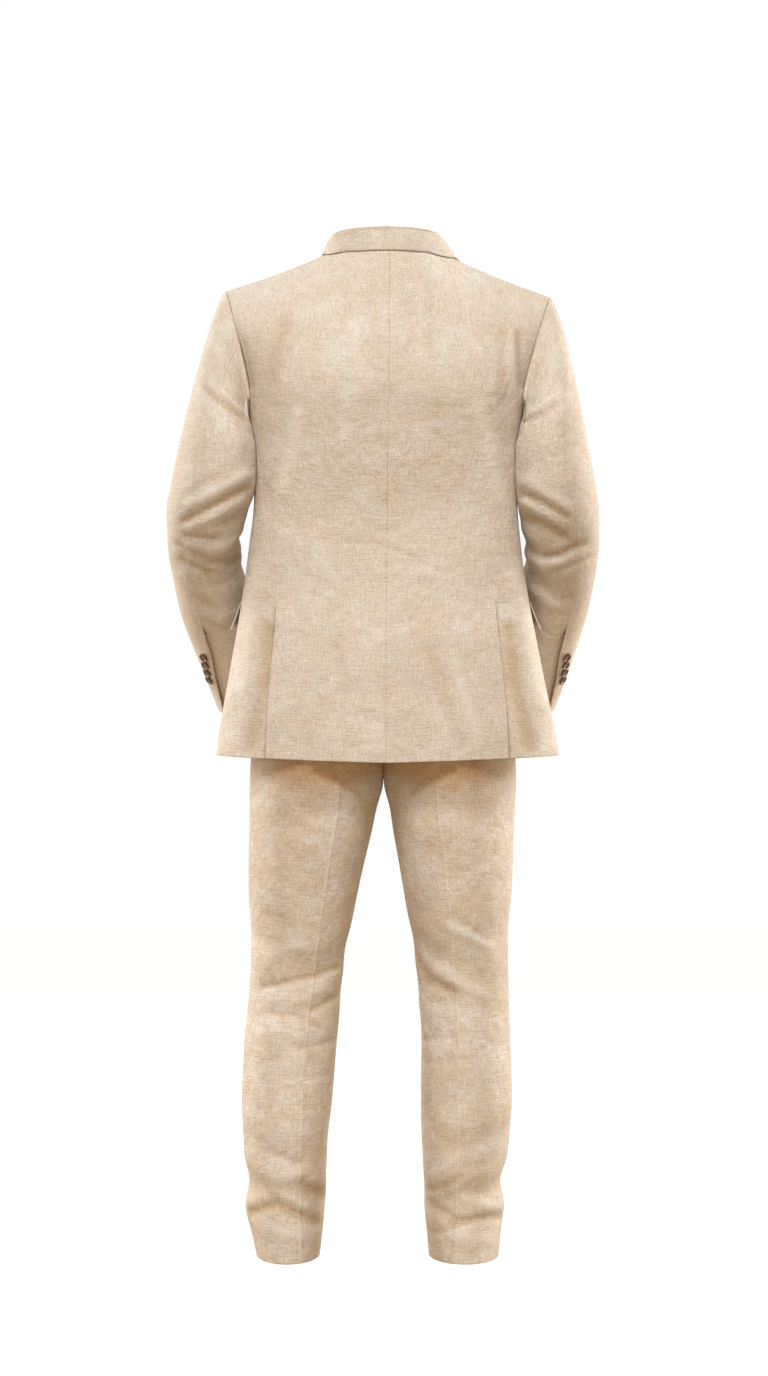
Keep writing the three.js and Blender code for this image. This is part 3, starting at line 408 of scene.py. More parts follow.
def look_up(table, place, column):
    """One column of a table, smoothly between its rows, with no overshoot."""
    rows = np.array(sorted(table), dtype=float)
    x = rows[:, 0]
    y = rows[:, column]
    secant = np.diff(y) / np.diff(x)
    slope = np.zeros(len(x))
    slope[0] = secant[0]
    slope[-1] = secant[-1]
    before = secant[:-1]
    after = secant[1:]
    joined = before * after > 0
    total = np.where(joined, before + after, 1)
    slope[1:-1] = np.where(joined, 2 * before * after / total, 0)
    place = np.clip(place, x[0], x[-1])
    k = np.clip(np.searchsorted(x, place, side="right") - 1, 0, len(x) - 2)
    span = x[k + 1] - x[k]
    t = (place - x[k]) / span
    t2 = t * t
    t3 = t2 * t
    start = y[k] * (2 * t3 - 3 * t2 + 1) + slope[k] * span * (t3 - 2 * t2 + t)
    return start + y[k + 1] * (3 * t2 - 2 * t3) + slope[k + 1] * span * (t3 - t2)


def bezier(p0, p1, p2, p3, t):
    t = t[..., None]
    s = 1 - t
    return p0 * s**3 + 3 * p1 * s * s * t + 3 * p2 * s * t * t + p3 * t**3


def stack(x, y, z):
    return np.stack(np.broadcast_arrays(x, y, z), axis=-1).astype(float)


def arrays(u, v):
    return np.broadcast_arrays(np.asarray(u, float), np.asarray(v, float))


def unit(vectors):
    return vectors / np.maximum(np.linalg.norm(vectors, axis=-1, keepdims=True), 1e-9)


def fold_depth(folds, span, around, along):
    """How deep a table of folds presses in at each place; a negative depth stands out."""
    total = np.zeros(np.broadcast(around, along).shape)
    for around0, along0, around1, along1, depth, width in folds:
        wrapped = around - around0 - np.round(around - (around0 + around1) / 2)
        x = wrapped * span[0]
        y = (along - along0) * span[1]
        dx = (around1 - around0) * span[0]
        dy = (along1 - along0) * span[1]
        length = math.hypot(dx, dy)
        t = (x * dx + y * dy) / length**2
        aside = (x * dy - y * dx) / length
        past = np.maximum(0, np.maximum(-t, t - 1)) * length
        fade = 1 - FOLD_FADE * np.abs(2 * np.clip(t, 0, 1) - 1)
        tail = (past / (FOLD_TAIL * width)) ** 2
        total += depth * fade * np.exp(-((aside / width) ** 2) - tail)
    return total


# Jacket body: a section round the body at one height
def body_ring(side, u, z):
    angle = np.pi * u
    across = np.abs(np.sin(angle)) ** (2 / SECTION_POWER)
    along = np.abs(np.cos(angle)) ** (2 / SECTION_POWER)
    back = angle < np.pi / 2
    width = look_up(BODY_WIDTHS, z, 1 if side == "left" else 2)
    depth = np.where(back, look_up(BODY_DEPTHS, z, 1), -look_up(BODY_DEPTHS, z, 2))
    drift = np.where(back, look_up(BODY_DEPTHS, z, 3) * along**2, 0)
    return stack(SIGN[side] * width * across + drift, depth * along, z)


# The top of each column: round the neck, then along the shoulder to its tip
def body_top(side, u):
    sign = SIGN[side]
    tip_x, tip_z = SHOULDER_TIP[side]
    back = u < 0.5
    place = np.where(back, u, 1 - u)
    ridge = RIDGE_Y + np.where(back, SHOULDER_GAP, -SHOULDER_GAP)
    angle = np.pi / 2 * np.clip(place / NECK_U, 0, 1)
    depth = np.where(back, NECK_BACK_Y, NECK_FRONT_Y)
    drop = np.where(back, 0, NECK_FRONT_DROP * np.cos(angle))
    drift = np.where(back, look_up(BODY_DEPTHS, BODY_DEPTHS[-1][0], 3) * np.cos(angle) ** 2, 0)
    across = sign * NECK_HALF_WIDTH * np.sin(angle) + drift
    neck = stack(across, ridge + depth * np.cos(angle), NECK_Z - drop)
    t = (place - NECK_U) / (ARMHOLE_BACK_U - NECK_U)
    level = mix(NECK_Z, tip_z, t) - SHOULDER_HOLLOW * np.sin(np.pi * t)
    seam = stack(sign * mix(NECK_HALF_WIDTH, tip_x, t), ridge, level)
    return np.where((place <= NECK_U)[..., None], neck, seam)


# Above the underarm a column rises from the ring and rolls over to the top
def body_column(side, u, t):
    foot = body_ring(side, u, UNDERARM_Z)
    rise = (body_ring(side, u, UNDERARM_Z + 10) - foot) * 0.1
    head = body_top(side, u)
    back = u < 0.5
    place = np.where(back, u, 1 - u)
    shoulder = smooth(NECK_ROLL_SHARE * NECK_U, NECK_U, place)
    facing = np.where(back, 1.0, -1.0)
    at_neck, inner, tip = COLUMN_REACH
    reach = mix(at_neck, mix(inner, tip, place / ARMHOLE_BACK_U), shoulder)
    aside, up = NECK_ROLL
    away = unit(stack(0 * u, mix(aside * facing, facing, shoulder), mix(up, 0, shoulder)))
    third = head + away * reach[..., None]
    third[..., 0] = head[..., 0] + SIGN[side] * SHOULDER_LEAN * shoulder
    return bezier(foot, foot + rise * COLUMN_RISE, third, head, t)


def armhole_floor(u):
    t = np.clip((u - ARMHOLE_BACK_U) / (ARMHOLE_FRONT_U - ARMHOLE_BACK_U), 0, 1)
    return UNDERARM_Z - UNDERARM_DIP * np.abs(np.sin(np.pi * t)) ** UNDERARM_CURVE


def body_point(side, u, v):
    u, v = arrays(u, v)
    hem = mix(HEM_BACK_Z, HEM_SIDE_Z, np.sin(np.pi * np.minimum(u, 0.5)))
    low = body_ring(side, u, mix(hem, armhole_floor(u), v / UNDERARM_V))
    high = body_column(side, u, np.maximum(0, (v - UNDERARM_V) / (1 - UNDERARM_V)))
    return np.where((v > UNDERARM_V)[..., None], high, low)


def jacket_surface(side):
    """The body's surface, carried over the centre line onto the other half."""
    def surface(u, v):
        u, v = arrays(u, v)
        own = softened_point(side, np.clip(u, 0, 1), v)
        across = body_point(OTHER[side], np.where(u < 0, -u, 2 - u).clip(0, 1), v)
        inside = (u >= 0) & (u <= 1)
        return np.where(inside[..., None], own, across)
    return surface


def softened_point(side, u, v):
    """The body's surface, eased where the neck turns into the shoulder."""
    place = np.where(u < 0.5, u, 1 - u)
    first, last = NECK_EASE_U
    reach = NECK_EASE * smooth(first, NECK_U, place) * (1 - smooth(NECK_U, last, place))
    total = body_point(side, u, v)
    for share in (0.5, 1):
        for way in (-reach, reach):
            total = total + body_point(side, u + way * share, v)
    return total / 5


def solve(low, high, is_past):
    """The place at which a test turns true, for every entry of an array at once."""
    a = np.array(low, float)
    b = np.array(high, float)
    for _ in range(30):
        middle = (a + b) / 2
        past = is_past(middle)
        b = np.where(past, middle, b)
        a = np.where(past, a, middle)
    return (a + b) / 2


def body_v(side, u, z):
    return float(solve(0.0, 1.0, lambda v: body_point(side, u, v)[..., 2] > z))


def front_u(side, v, x):
    """The place on the front where one row passes a distance from the centre line."""
    return solve(0.55, 1, lambda u: SIGN[side] * body_point(side, u, v)[..., 0] < x)


# Sleeve: the loop round the armhole, from the shoulder tip by the back
def armhole_loop(side):
    steps = 24
    step = 0.002
    down = np.linspace(1, UNDERARM_V, steps + 1)
    back = body_point(side, ARMHOLE_BACK_U, down)
    back_out = unit(body_point(side, ARMHOLE_BACK_U + step, down) - back)
    under = np.linspace(ARMHOLE_BACK_U, ARMHOLE_FRONT_U, steps + 1)[1:-1]
    floor = body_point(side, under, UNDERARM_V)
    floor_out = unit(floor - body_point(side, under, UNDERARM_V - step))
    front = body_point(side, ARMHOLE_FRONT_U, down[::-1])
    front_out = unit(body_point(side, ARMHOLE_FRONT_U - step, down[::-1]) - front)
    out = np.concatenate([back_out, floor_out, front_out])
    points = np.concatenate([back, floor, front]) + ARMHOLE_GAP * out
    lengths = np.concatenate([[0], np.cumsum(np.linalg.norm(np.diff(points, axis=0), axis=1))])
    return lengths / lengths[-1], points, out


LOOPS = {side: armhole_loop(side) for side in SIGN}


def loop_at(side, a):
    places, points, out = LOOPS[side]
    wanted = a - np.floor(a)

    def at(values):
        return np.stack([np.interp(wanted, places, values[:, k]) for k in range(3)], axis=-1)

    return at(points), unit(at(out))


def sleeve_ring(side, a, z):
    columns = (1, 2, 5, 6, 8, 9) if side == "left" else (3, 4, 5, 7, 8, 9)
    values = (look_up(SLEEVE_RINGS, z, column) for column in columns)
    inner, outer, middle, half_depth, slope_x, slope_y = values
    angle = 2 * np.pi * a
    across = (outer - inner) / 2 * np.cos(angle)
    along = half_depth * np.sin(angle)
    tilt = slope_x * across + slope_y * along
    share = (SLEEVE_TOP_Z - z) / (SLEEVE_TOP_Z - SLEEVE_END_Z)
    s = SLEEVE_HEAD_S + share * (1 - SLEEVE_HEAD_S)
    shrink = 1 - fold_depth(SLEEVE_FOLDS[side], SLEEVE_SPAN, a, s) / np.hypot(across, along)
    x = SIGN[side] * ((inner + outer) / 2 + across * shrink)
    return stack(x, middle + along * shrink, z + tilt)


def beside_body(side, point, weight):
    """A sleeve's points, moved sideways where they would lie in the body."""
    x, y, z = (point[..., k] for k in range(3))
    sign = SIGN[side]
    depth = np.where(y > 0, look_up(BODY_DEPTHS, z, 1), look_up(BODY_DEPTHS, z, 2))
    share = np.minimum(1, np.abs(y) / depth)
    column = 1 if side == "left" else 2
    width = look_up(BODY_WIDTHS, z, column) * (1 - share ** SECTION_POWER) ** (1 / SECTION_POWER)
    inside = width + CONTACT_GAP - sign * x
    soft = (inside + CONTACT_SOFTNESS) ** 2 / (4 * CONTACT_SOFTNESS)
    push = np.where(inside < CONTACT_SOFTNESS, soft, inside)
    push = np.where(inside <= -CONTACT_SOFTNESS, 0, push)
    below = 1 - smooth(*CONTACT_Z, z)
    return stack(x + sign * weight * below * push, y, z)


def sleeve_point(side, a, s):
    a, s = arrays(a, s)
    share = np.maximum(0, (s - SLEEVE_HEAD_S) / (1 - SLEEVE_HEAD_S))
    low = sleeve_ring(side, a, mix(SLEEVE_TOP_Z, SLEEVE_END_Z, share))
    t = np.clip(s / SLEEVE_HEAD_S, -0.1, 1)
    point, out = loop_at(side, a)
    foot = sleeve_ring(side, a, SLEEVE_TOP_Z)
    run = (foot - sleeve_ring(side, a, SLEEVE_TOP_Z - 10)) * 0.1
    high = 0.5 + 0.5 * np.cos(2 * np.pi * a)
    first = point + out * mix(*HEAD_SWELL, high)[..., None]
    first[..., 0] += SIGN[side] * mix(*HEAD_LEAN, high)
    place = bezier(point, first, foot + run * mix(*HEAD_RUN, high)[..., None], foot, t)
    middle = stack(0 * a + ARMHOLE_MIDDLE[0] * SIGN[side], ARMHOLE_MIDDLE[1], place[..., 2])
    folds = (fold_depth(SLEEVE_FOLDS[side], SLEEVE_SPAN, a, row) for row in (s, SLEEVE_HEAD_S))
    depth = np.subtract(*folds)
    place = place - unit(place - middle) * (depth * smooth(*HEAD_FOLDS_T, t))[..., None]
    low = beside_body(side, low, 1)
    place = beside_body(side, place, smooth(*HEAD_CONTACT_T, t))
    return np.where((s >= SLEEVE_HEAD_S)[..., None], low, place)


# Trousers: from hem to waist, with a seat seam that dips to the crotch
def leg_point(side, a, v):
    a, v = arrays(a, v)
    shift = 1 if side == "left" else 3
    back = a < 0.5
    rise = np.clip((v - CROTCH_V) / (1 - CROTCH_V), 0, 1)
    low = mix(TROUSER_HEM_Z, CROTCH_Z, v / CROTCH_V)
    z = np.where(v < CROTCH_V, low, mix(CROTCH_Z, WAIST_TOP_Z, rise))
    columns = (shift, shift + 1, 5, 6)
    outer, inner, back_y, front_y = (look_up(LEG_ROWS, z, column) for column in columns)
    depth = np.where(back, back_y, front_y)
    crease = mix(inner, outer, 0.5 - CREASE_SHIFT * rise)
    folds = fold_depth(LEG_FOLDS[side], LEG_SPAN, a, v)
    pressed = 1 - folds * (1 - smooth(*LEG_FOLDS_END, rise)) / LEG_RADIUS
    toward = np.where(back, 1 - a / 0.5, (a - 0.5) / 0.5)
    angle = (toward - 0.5) / 0.5 * np.pi / 2
    x = crease + (outer - crease) * np.sin(angle) * pressed
    outside = stack(x, depth * np.cos(angle) * pressed, z)
    angle = (1 - toward / 0.5) * np.pi / 2
    seam_y = depth * SEAT_SEAM_DEPTH * (1 - (1 - rise) ** SEAT_SEAM_CURVE)
    seam_rise = np.minimum(1, rise / SEAT_SEAM_FULL) ** SEAT_SEAM_POWER
    seam_z = CROTCH_Z + (z - CROTCH_Z) * np.where(rise > 0, seam_rise, 1)
    bend = np.sin(angle) ** 2
    pinch = mix(pressed, 1, bend * smooth(CROTCH_V - CROTCH_BLEND_V, CROTCH_V, v))
    x = crease + (inner - crease) * np.sin(angle) * pinch
    y = (seam_y + (depth - seam_y) * np.cos(angle)) * pinch
    above = smooth(CROTCH_V - CROTCH_STEP_V, CROTCH_V + CROTCH_STEP_V, v)
    close = HALF_GAP * SIGN[side] * bend * above
    inside = stack(x + close, y, mix(z, seam_z, bend))
    return np.where((toward >= 0.5)[..., None], outside, inside)


# Collar: a leaf folded over its stand, from one front round the neck to the other
def leaf_edge(c, away):
    """The leaf's edge, just off the back, the shoulder ridge or the front."""
    place = look_up(LEAF_EDGE, away, 1)
    ends = {}
    for side in SIGN:
        surface = jacket_surface(side)
        v = look_up(LEAF_EDGE, away, 2 if side == "left" else 3)
        u = np.where(away < LEAF_RIDGE, place * LEAF_REACH[side], 1 - place * LEAF_REACH[side])
        ends[side] = surface(u, v) + normals(surface, u, v, -SIGN[side]) * LEAF_LIFT
    return np.where((c < 0)[..., None], ends["right"], ends["left"])


def collar_point(c, p):
    c, p = arrays(c, p)
    sign = np.where(c < 0, -1, 1)
    away = np.clip(np.abs(c), 0, 1)
    columns = [look_up(COLLAR_ROWS, away, k) for k in range(1, 7)]
    base = stack(sign * columns[0], *columns[1:3])
    fold = stack(sign * columns[3], *columns[4:])
    edge = leaf_edge(c, away)
    stand = mix(base, fold, (p / STAND_SHARE)[..., None])
    rise = unit(fold - base)
    first = fold + rise * FOLD_RISE
    second = mix(fold, edge, LEAF_BEND) + rise * FOLD_RISE
    down = np.maximum(0, (p - STAND_SHARE) / (1 - STAND_SHARE))
    leaf = bezier(fold, first, second, edge, down)
    return np.where((p <= STAND_SHARE)[..., None], stand, leaf)


# Finer creases over the large folds; a negative depth is a ridge.
# Columns: place round and place along at the start, the same at the end, depth, half width
SLEEVE_CREASES = {
    "left": (
        (0.53, 0.555, 0.3, 0.575, -2.4, 8), (0.53, 0.625, 0.27, 0.622, 3.0, 7),
        (0.62, 0.48, 0.85, 0.47, 2.0, 9), (0.6, 0.585, 0.9, 0.565, -2.2, 8),
        (0.62, 0.66, 0.88, 0.65, -2.0, 8), (0.64, 0.76, 0.82, 0.74, 1.8, 9),
        (0.95, 0.12, 0.83, 0.2, 2.0, 10), (0.88, 0.4, 0.7, 0.44, 1.6, 11),
    ),
    "right": (
        (0.54, 0.625, 0.26, 0.6, -2.2, 8), (0.51, 0.68, 0.22, 0.7, -1.8, 8),
        (0.62, 0.47, 0.84, 0.48, 2.0, 9), (0.6, 0.58, 0.88, 0.57, -2.2, 8),
        (0.62, 0.67, 0.86, 0.645, -2.0, 8), (0.65, 0.77, 0.84, 0.74, 1.8, 9),
        (0.94, 0.13, 0.84, 0.21, 2.0, 10), (0.9, 0.41, 0.72, 0.43, 1.6, 11),
    ),
}
LEG_CREASES = {
    "left": (
        (0.56, 0.095, 0.86, 0.075, 2.6, 9), (0.58, 0.15, 0.9, 0.14, 2.2, 9),
        (0.56, 0.8, 0.84, 0.86, 2.4, 11), (0.57, 0.68, 0.8, 0.72, 2.0, 11),
    ),
    "right": (
        (0.56, 0.09, 0.88, 0.085, 2.6, 9), (0.57, 0.16, 0.9, 0.135, 2.2, 9),
        (0.56, 0.79, 0.86, 0.85, 2.4, 11), (0.58, 0.69, 0.82, 0.73, 2.0, 11),
    ),
}
BODY_CREASES = {
    "left": (
        (0.62, 0.44, 0.8, 0.46, 2.2, 14), (0.66, 0.54, 0.86, 0.5, 1.8, 14),
        (0.98, 0.45, 0.84, 0.52, 2.4, 12), (0.98, 0.43, 0.82, 0.4, 2.0, 12),
        (0.7, 0.22, 0.74, 0.03, 2.2, 20), (0.61, 0.85, 0.62, 0.68, 2.2, 12),
    ),
    "right": (
        (0.63, 0.45, 0.8, 0.465, 2.2, 14), (0.65, 0.53, 0.85, 0.49, 1.8, 14),
        (0.96, 0.46, 0.84, 0.53, 2.4, 12), (0.96, 0.42, 0.82, 0.39, 2.0, 12),
        (0.69, 0.2, 0.73, 0.03, 2.2, 20), (0.615, 0.86, 0.62, 0.67, 2.2, 12),
    ),
}


# How far a normal turns to the camera where the seen creases start and are full
TURNED_AWAY = (0.05, 0.4)
# Creases on the side that the photograph shows, placed by its pixels.
# Columns: depth in millimetres, negative for a ridge, half width in pixels, then the line's points
SEEN_ON_SLEEVES = (
    (3.2, 4, (205, 388), (222, 402), (248, 420)), (1.6, 3, (234, 398), (247, 409)),
    (-1.8, 4, (222, 392), (244, 412)), (1.4, 5, (184, 497), (200, 485), (216, 478)),
    (-2.6, 6, (190, 503), (215, 492), (246, 474)), (3.4, 4.5, (184, 521), (205, 510), (246, 488)),
    (-2.4, 4.5, (193, 526), (215, 516), (240, 501)), (3.0, 5, (226, 522), (246, 510)),
    (2.4, 3.5, (186, 535), (203, 537), (216, 538)), (-1.4, 3.5, (208, 533), (238, 524)),
    (-2.4, 5, (188, 544), (210, 551), (234, 542)),
    (3.0, 4, (177, 543), (195, 552), (212, 561), (238, 559)),
    (-1.6, 4, (192, 555), (206, 563), (224, 569)), (2.4, 4, (182, 558), (198, 567), (208, 573)),
    (1.8, 4, (196, 596), (209, 604)), (1.8, 4, (203, 618), (217, 628)),
    (-1.0, 9, (205, 590), (222, 612)), (2.6, 4, (556, 403), (541, 413), (527, 421)),
    (-1.8, 3.5, (553, 397), (531, 413)), (-2.6, 6, (526, 481), (545, 493), (568, 508)),
    (3.2, 4.5, (523, 494), (545, 503), (566, 516)), (-2.4, 4.5, (526, 503), (542, 514), (564, 527)),
    (3.2, 6, (522, 516), (540, 521), (562, 533)), (2.0, 4, (556, 531), (574, 542)),
    (-2.0, 5, (530, 537), (546, 546), (560, 547)), (2.8, 4, (545, 555), (565, 551), (583, 543)),
    (-2.0, 4.5, (543, 567), (560, 563), (582, 550)), (2.4, 4, (553, 571), (574, 563), (592, 556)),
    (1.6, 4, (560, 599), (572, 595)), (1.4, 5, (550, 620), (568, 612)),
    (-0.8, 9, (545, 590), (560, 615)),
)
SEEN_ON_LEGS = (
    (2.5, 5, (316, 772), (338, 781), (358, 793)), (-1.2, 7, (296, 815), (318, 825)),
    (1.4, 7, (270, 915), (292, 925)), (-1.6, 8, (270, 955), (300, 945)),
    (2.6, 3.5, (264, 987), (290, 981), (315, 976), (338, 967)),
    (-1.8, 6, (272, 998), (300, 1001), (322, 988)), (2.4, 4, (312, 1011), (328, 1001), (342, 993)),
    (2.2, 4, (272, 1013), (297, 1016), (320, 1027)), (-1.2, 5, (275, 1030), (300, 1035)),
    (1.8, 4, (298, 1049), (320, 1044), (339, 1038)), (1.4, 5, (262, 1062), (276, 1058)),
    (1.2, 4, (288, 1079), (326, 1075)), (2.2, 5, (272, 1152), (300, 1164)),
    (-1.6, 6, (275, 1180), (300, 1172)), (3.4, 7, (302, 1185), (328, 1196)),
    (4.2, 6, (250, 1212), (275, 1204), (300, 1214), (320, 1223)),
    (-2.0, 6, (278, 1192), (305, 1208)), (-1.8, 8, (265, 1228), (300, 1236)),
    (2.5, 5, (452, 772), (430, 781), (412, 793)), (1.8, 5, (450, 918), (468, 926), (480, 934)),
    (-2.2, 5, (450, 927), (470, 937), (490, 947)), (3.4, 6, (414, 958), (430, 980), (454, 992)),
    (-2.0, 7, (440, 968), (460, 985), (485, 995)), (1.4, 4, (428, 1003), (456, 1001)),
    (1.4, 4, (424, 1040), (450, 1036)), (1.2, 4, (426, 1062), (470, 1058)),
    (1.6, 8, (424, 1105), (432, 1130)), (-1.6, 4.5, (430, 1175), (446, 1166), (458, 1157)),
    (2.2, 4.5, (430, 1190), (448, 1184), (460, 1177)),
    (2.6, 6, (422, 1200), (440, 1210), (456, 1218)), (-1.8, 6, (462, 1198), (490, 1206)),
    (3.6, 5, (452, 1224), (475, 1219), (503, 1216)), (1.6, 3.5, (435, 1233), (452, 1230)),
    (-1.6, 8, (455, 1238), (490, 1240)), (1.4, 7, (470, 1165), (492, 1158)),
)
SEEN_ON_BODY = (
    (2.0, 10, (284, 322), (276, 350), (270, 378)), (-2.2, 9, (298, 415), (290, 450), (281, 492)),
    (-2.2, 9, (480, 408), (490, 450), (500, 498)), (-1.4, 4, (511, 325), (516, 400)),
    (2.2, 4, (520, 335), (521, 385)), (1.4, 7, (503, 330), (502, 400)),
    (1.8, 5, (243, 345), (251, 385)), (-1.2, 8, (348, 325), (368, 392)),
    (1.2, 3, (343, 541), (385, 546), (420, 560), (446, 573)), (1.0, 3, (350, 572), (372, 580)),
    (0.9, 3, (330, 588), (350, 597)), (3.2, 10, (267, 628), (262, 680), (250, 745)),
    (-1.8, 9, (249, 620), (240, 690)), (3.4, 9, (511, 628), (517, 680), (531, 745)),
    (-1.8, 9, (527, 622), (540, 700)), (0.5, 9, (312, 690), (306, 745)),
    (1.6, 9, (430, 650), (446, 695), (460, 742)), (-1.4, 9, (452, 655), (478, 742)),
    (1.2, 8, (338, 640), (345, 690)),
)


def photo_middle():
    """The x and z that the middle of the photograph shows."""
    x = (NECK_PIXEL[0] - PHOTO_WIDTH / 2) * PHOTO_SCALE
    z = (NECK_PIXEL[1] - PHOTO_HEIGHT / 2) * PHOTO_SCALE
    return x, z


def seen_pixels(points):
    """Where the photograph shows some points."""
    middle_x, middle_z = photo_middle()
    nearer = CAMERA_DISTANCE / (CAMERA_DISTANCE - points[..., 1])
    x = PHOTO_WIDTH / 2 - (points[..., 0] - middle_x) * nearer / PHOTO_SCALE
    y = PHOTO_HEIGHT / 2 - (points[..., 2] - middle_z) * nearer / PHOTO_SCALE
    return x, y


def seen_depth(table, points, normal):
    """How deep the creases on the visible side press in, fading where the cloth turns away."""
    x, y = seen_pixels(points)
    total = np.zeros(x.shape)
    for depth, width, *line in table:
        nearest = np.full(x.shape, 1e6)
        for (x0, y0), (x1, y1) in zip(line, line[1:]):
            span = math.hypot(x1 - x0, y1 - y0)
            t = np.clip(((x - x0) * (x1 - x0) + (y - y0) * (y1 - y0)) / span ** 2, 0, 1)
            nearest = np.minimum(nearest, np.hypot(x - mix(x0, x1, t), y - mix(y0, y1, t)))
        total += depth * np.exp(-((nearest / width) ** 2))
    return total * smooth(*TURNED_AWAY, normal[..., 1])


def normals(surface, u, v, outward):
    """Unit normals of a surface, pointing out of the cloth."""
    step = 0.003
    around = surface(u + step, v) - surface(u - step, v)
    along = surface(u, v + step) - surface(u, v - step)
    return unit(np.cross(around, along)) * outward


def per_millimetre(surface, u, v):
    step = 0.002
    return 2 * step / np.linalg.norm(surface(u + step, v) - surface(u - step, v), axis=-1)


def shifted(surface, u, v, distance):
    """A place moved round the surface by some millimetres."""
    return u + distance * per_millimetre(surface, u, v)


def spread(length, step):
    """Shares from 0 to 1, close together at both edges, where the cloth turns over."""
    edge = np.array(EDGE_STEPS) / length
    count = max(2, int(round((length - 2 * EDGE_STEPS[-1]) / step)))
    middle = np.linspace(edge[-1], 1 - edge[-1], count + 1)
    return np.concatenate([edge[:-1], middle, 1 - edge[:-1][::-1]])


def wall_faces(rows, columns):
    """The faces of a closed wall: its skin, the same turned over for the inside, and the rim."""
    half = rows * columns
    index = np.arange(half).reshape(rows, columns)
    corners = (index[:-1, :-1], index[:-1, 1:], index[1:, 1:], index[1:, :-1])
    skin = np.stack(corners, axis=-1).reshape(-1, 4)
    rim = np.concatenate([index[0, :-1], index[:-1, -1], index[-1, :0:-1], index[:0:-1, 0]])
    following = np.roll(rim, -1)
    band = np.stack([following, rim, rim + half, following + half], axis=-1)
    return np.concatenate([skin, skin[:, ::-1] + half, band])


def wall_mesh(name, outer, inner, flat_u, flat_v):
    """A closed wall on a grid of outer and inner points, with its cloth laid flat as UVs in metres."""
    faces = wall_faces(*outer.shape[:2])
    points = np.concatenate([outer.reshape(-1, 3), inner.reshape(-1, 3)])
    a, b, c, d = (points[faces[:, k]] for k in range(4))
    volume = np.einsum("ij,ij->", a, np.cross(b, c)) + np.einsum("ij,ij->", a, np.cross(c, d))
    if volume < 0:
        faces = faces[:, ::-1]
    mesh = bpy.data.meshes.new(name)
    mesh.from_pydata((points * MM).tolist(), [], faces.tolist())
    flat = np.stack([flat_u, flat_v], axis=-1).reshape(-1, 2) * MM
    flat = np.concatenate([flat, flat])
    layer = mesh.uv_layers.new(name="cloth")
    layer.data.foreach_set("uv", flat[faces.reshape(-1)].reshape(-1).astype(np.float32))
    mesh.polygons.foreach_set("use_smooth", np.ones(len(faces), dtype=bool))
    mesh.update()
    piece = bpy.data.objects.new(name, mesh)
    bpy.context.collection.objects.link(piece)
    return piece


def mark(piece, name, values):
    """Stores one value for each point of a wall, the same outside and inside."""
    layer = piece.data.attributes.new(name, "FLOAT", "POINT")
    layer.data.foreach_set("value", np.concatenate([values.reshape(-1)] * 2).astype(np.float32))


def cloth_wall(name, wall, base, normal, lift, tone, head=0.0):
    """Makes the wall of a sheet and measures the cloth that it was cut from."""
    across = np.linalg.norm(np.diff(base, axis=1), axis=-1)
    down = np.linalg.norm(np.diff(base, axis=0), axis=-1)
    width = across.sum(axis=1)
    length = down.sum(axis=0)
    place_u = np.concatenate([np.zeros((base.shape[0], 1)), np.cumsum(across, axis=1)], axis=1)
    place_v = np.concatenate([np.zeros((1, base.shape[1])), np.cumsum(down, axis=0)], axis=0)
    side = np.minimum(place_u, width[:, None] - place_u)
    end = np.minimum(place_v, length[None, :] - place_v)
    near = np.clip(np.minimum(side, end) / EDGE_ROLL, 0, 1)
    roll = (wall / 2 - EDGE_HALF_WALL) * (1 - np.sqrt(1 - (1 - near) ** 2))
    outer = base + normal * (lift - roll)[..., None]
    inner = base + normal * (lift - wall + roll)[..., None]
    middle = base.shape[1] // 2
    flat_u = place_u - place_u[:, middle:middle + 1]
    flat_v = np.broadcast_to(place_v[:, middle:middle + 1], flat_u.shape)
    piece = wall_mesh(f"{name}_cloth", outer, inner, flat_u, flat_v)
    # A painted shadow line along the sides, and along the first row where a head tone is given
    border = np.clip(1 - side / EDGE_ROLL, 0, 1) * tone
    first = np.clip(1 - place_v / EDGE_ROLL, 0, 1) * head
    mark(piece, "edge", np.maximum(border, first))
    sides = np.cross(base[1:, 1:] - base[:-1, :-1], base[1:, :-1] - base[:-1, 1:])
    area = 0.5 * np.linalg.norm(sides, axis=-1).sum() * MM * MM
    size = (float(width.max()) * MM, float(length.max()) * MM)
    return piece, size, min(float(area), size[0] * size[1])


def sheet(made, name, cloth):
    """Finishes one piece: gives it its cloth's material, hangs it on the root and hides the part that it
    replaces.
    """
    piece, flat, area = made
    slot, _, material = cloth
    piece.data.materials.append(material)
    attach(piece, "root")
    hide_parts(name)


def panel_rows(rows, length):
    """The rows of a panel from its first to its last, with every row between that has to be kept."""
    low, high = rows[0], rows[-1]
    v = mix(low, high, spread(length, WEAVE_STEP))
    for kept in rows[1:-1]:
        v = np.append(v[np.abs(v - kept) * length > ROW_CLEARANCE * (high - low)], kept)
    return np.sort(v)


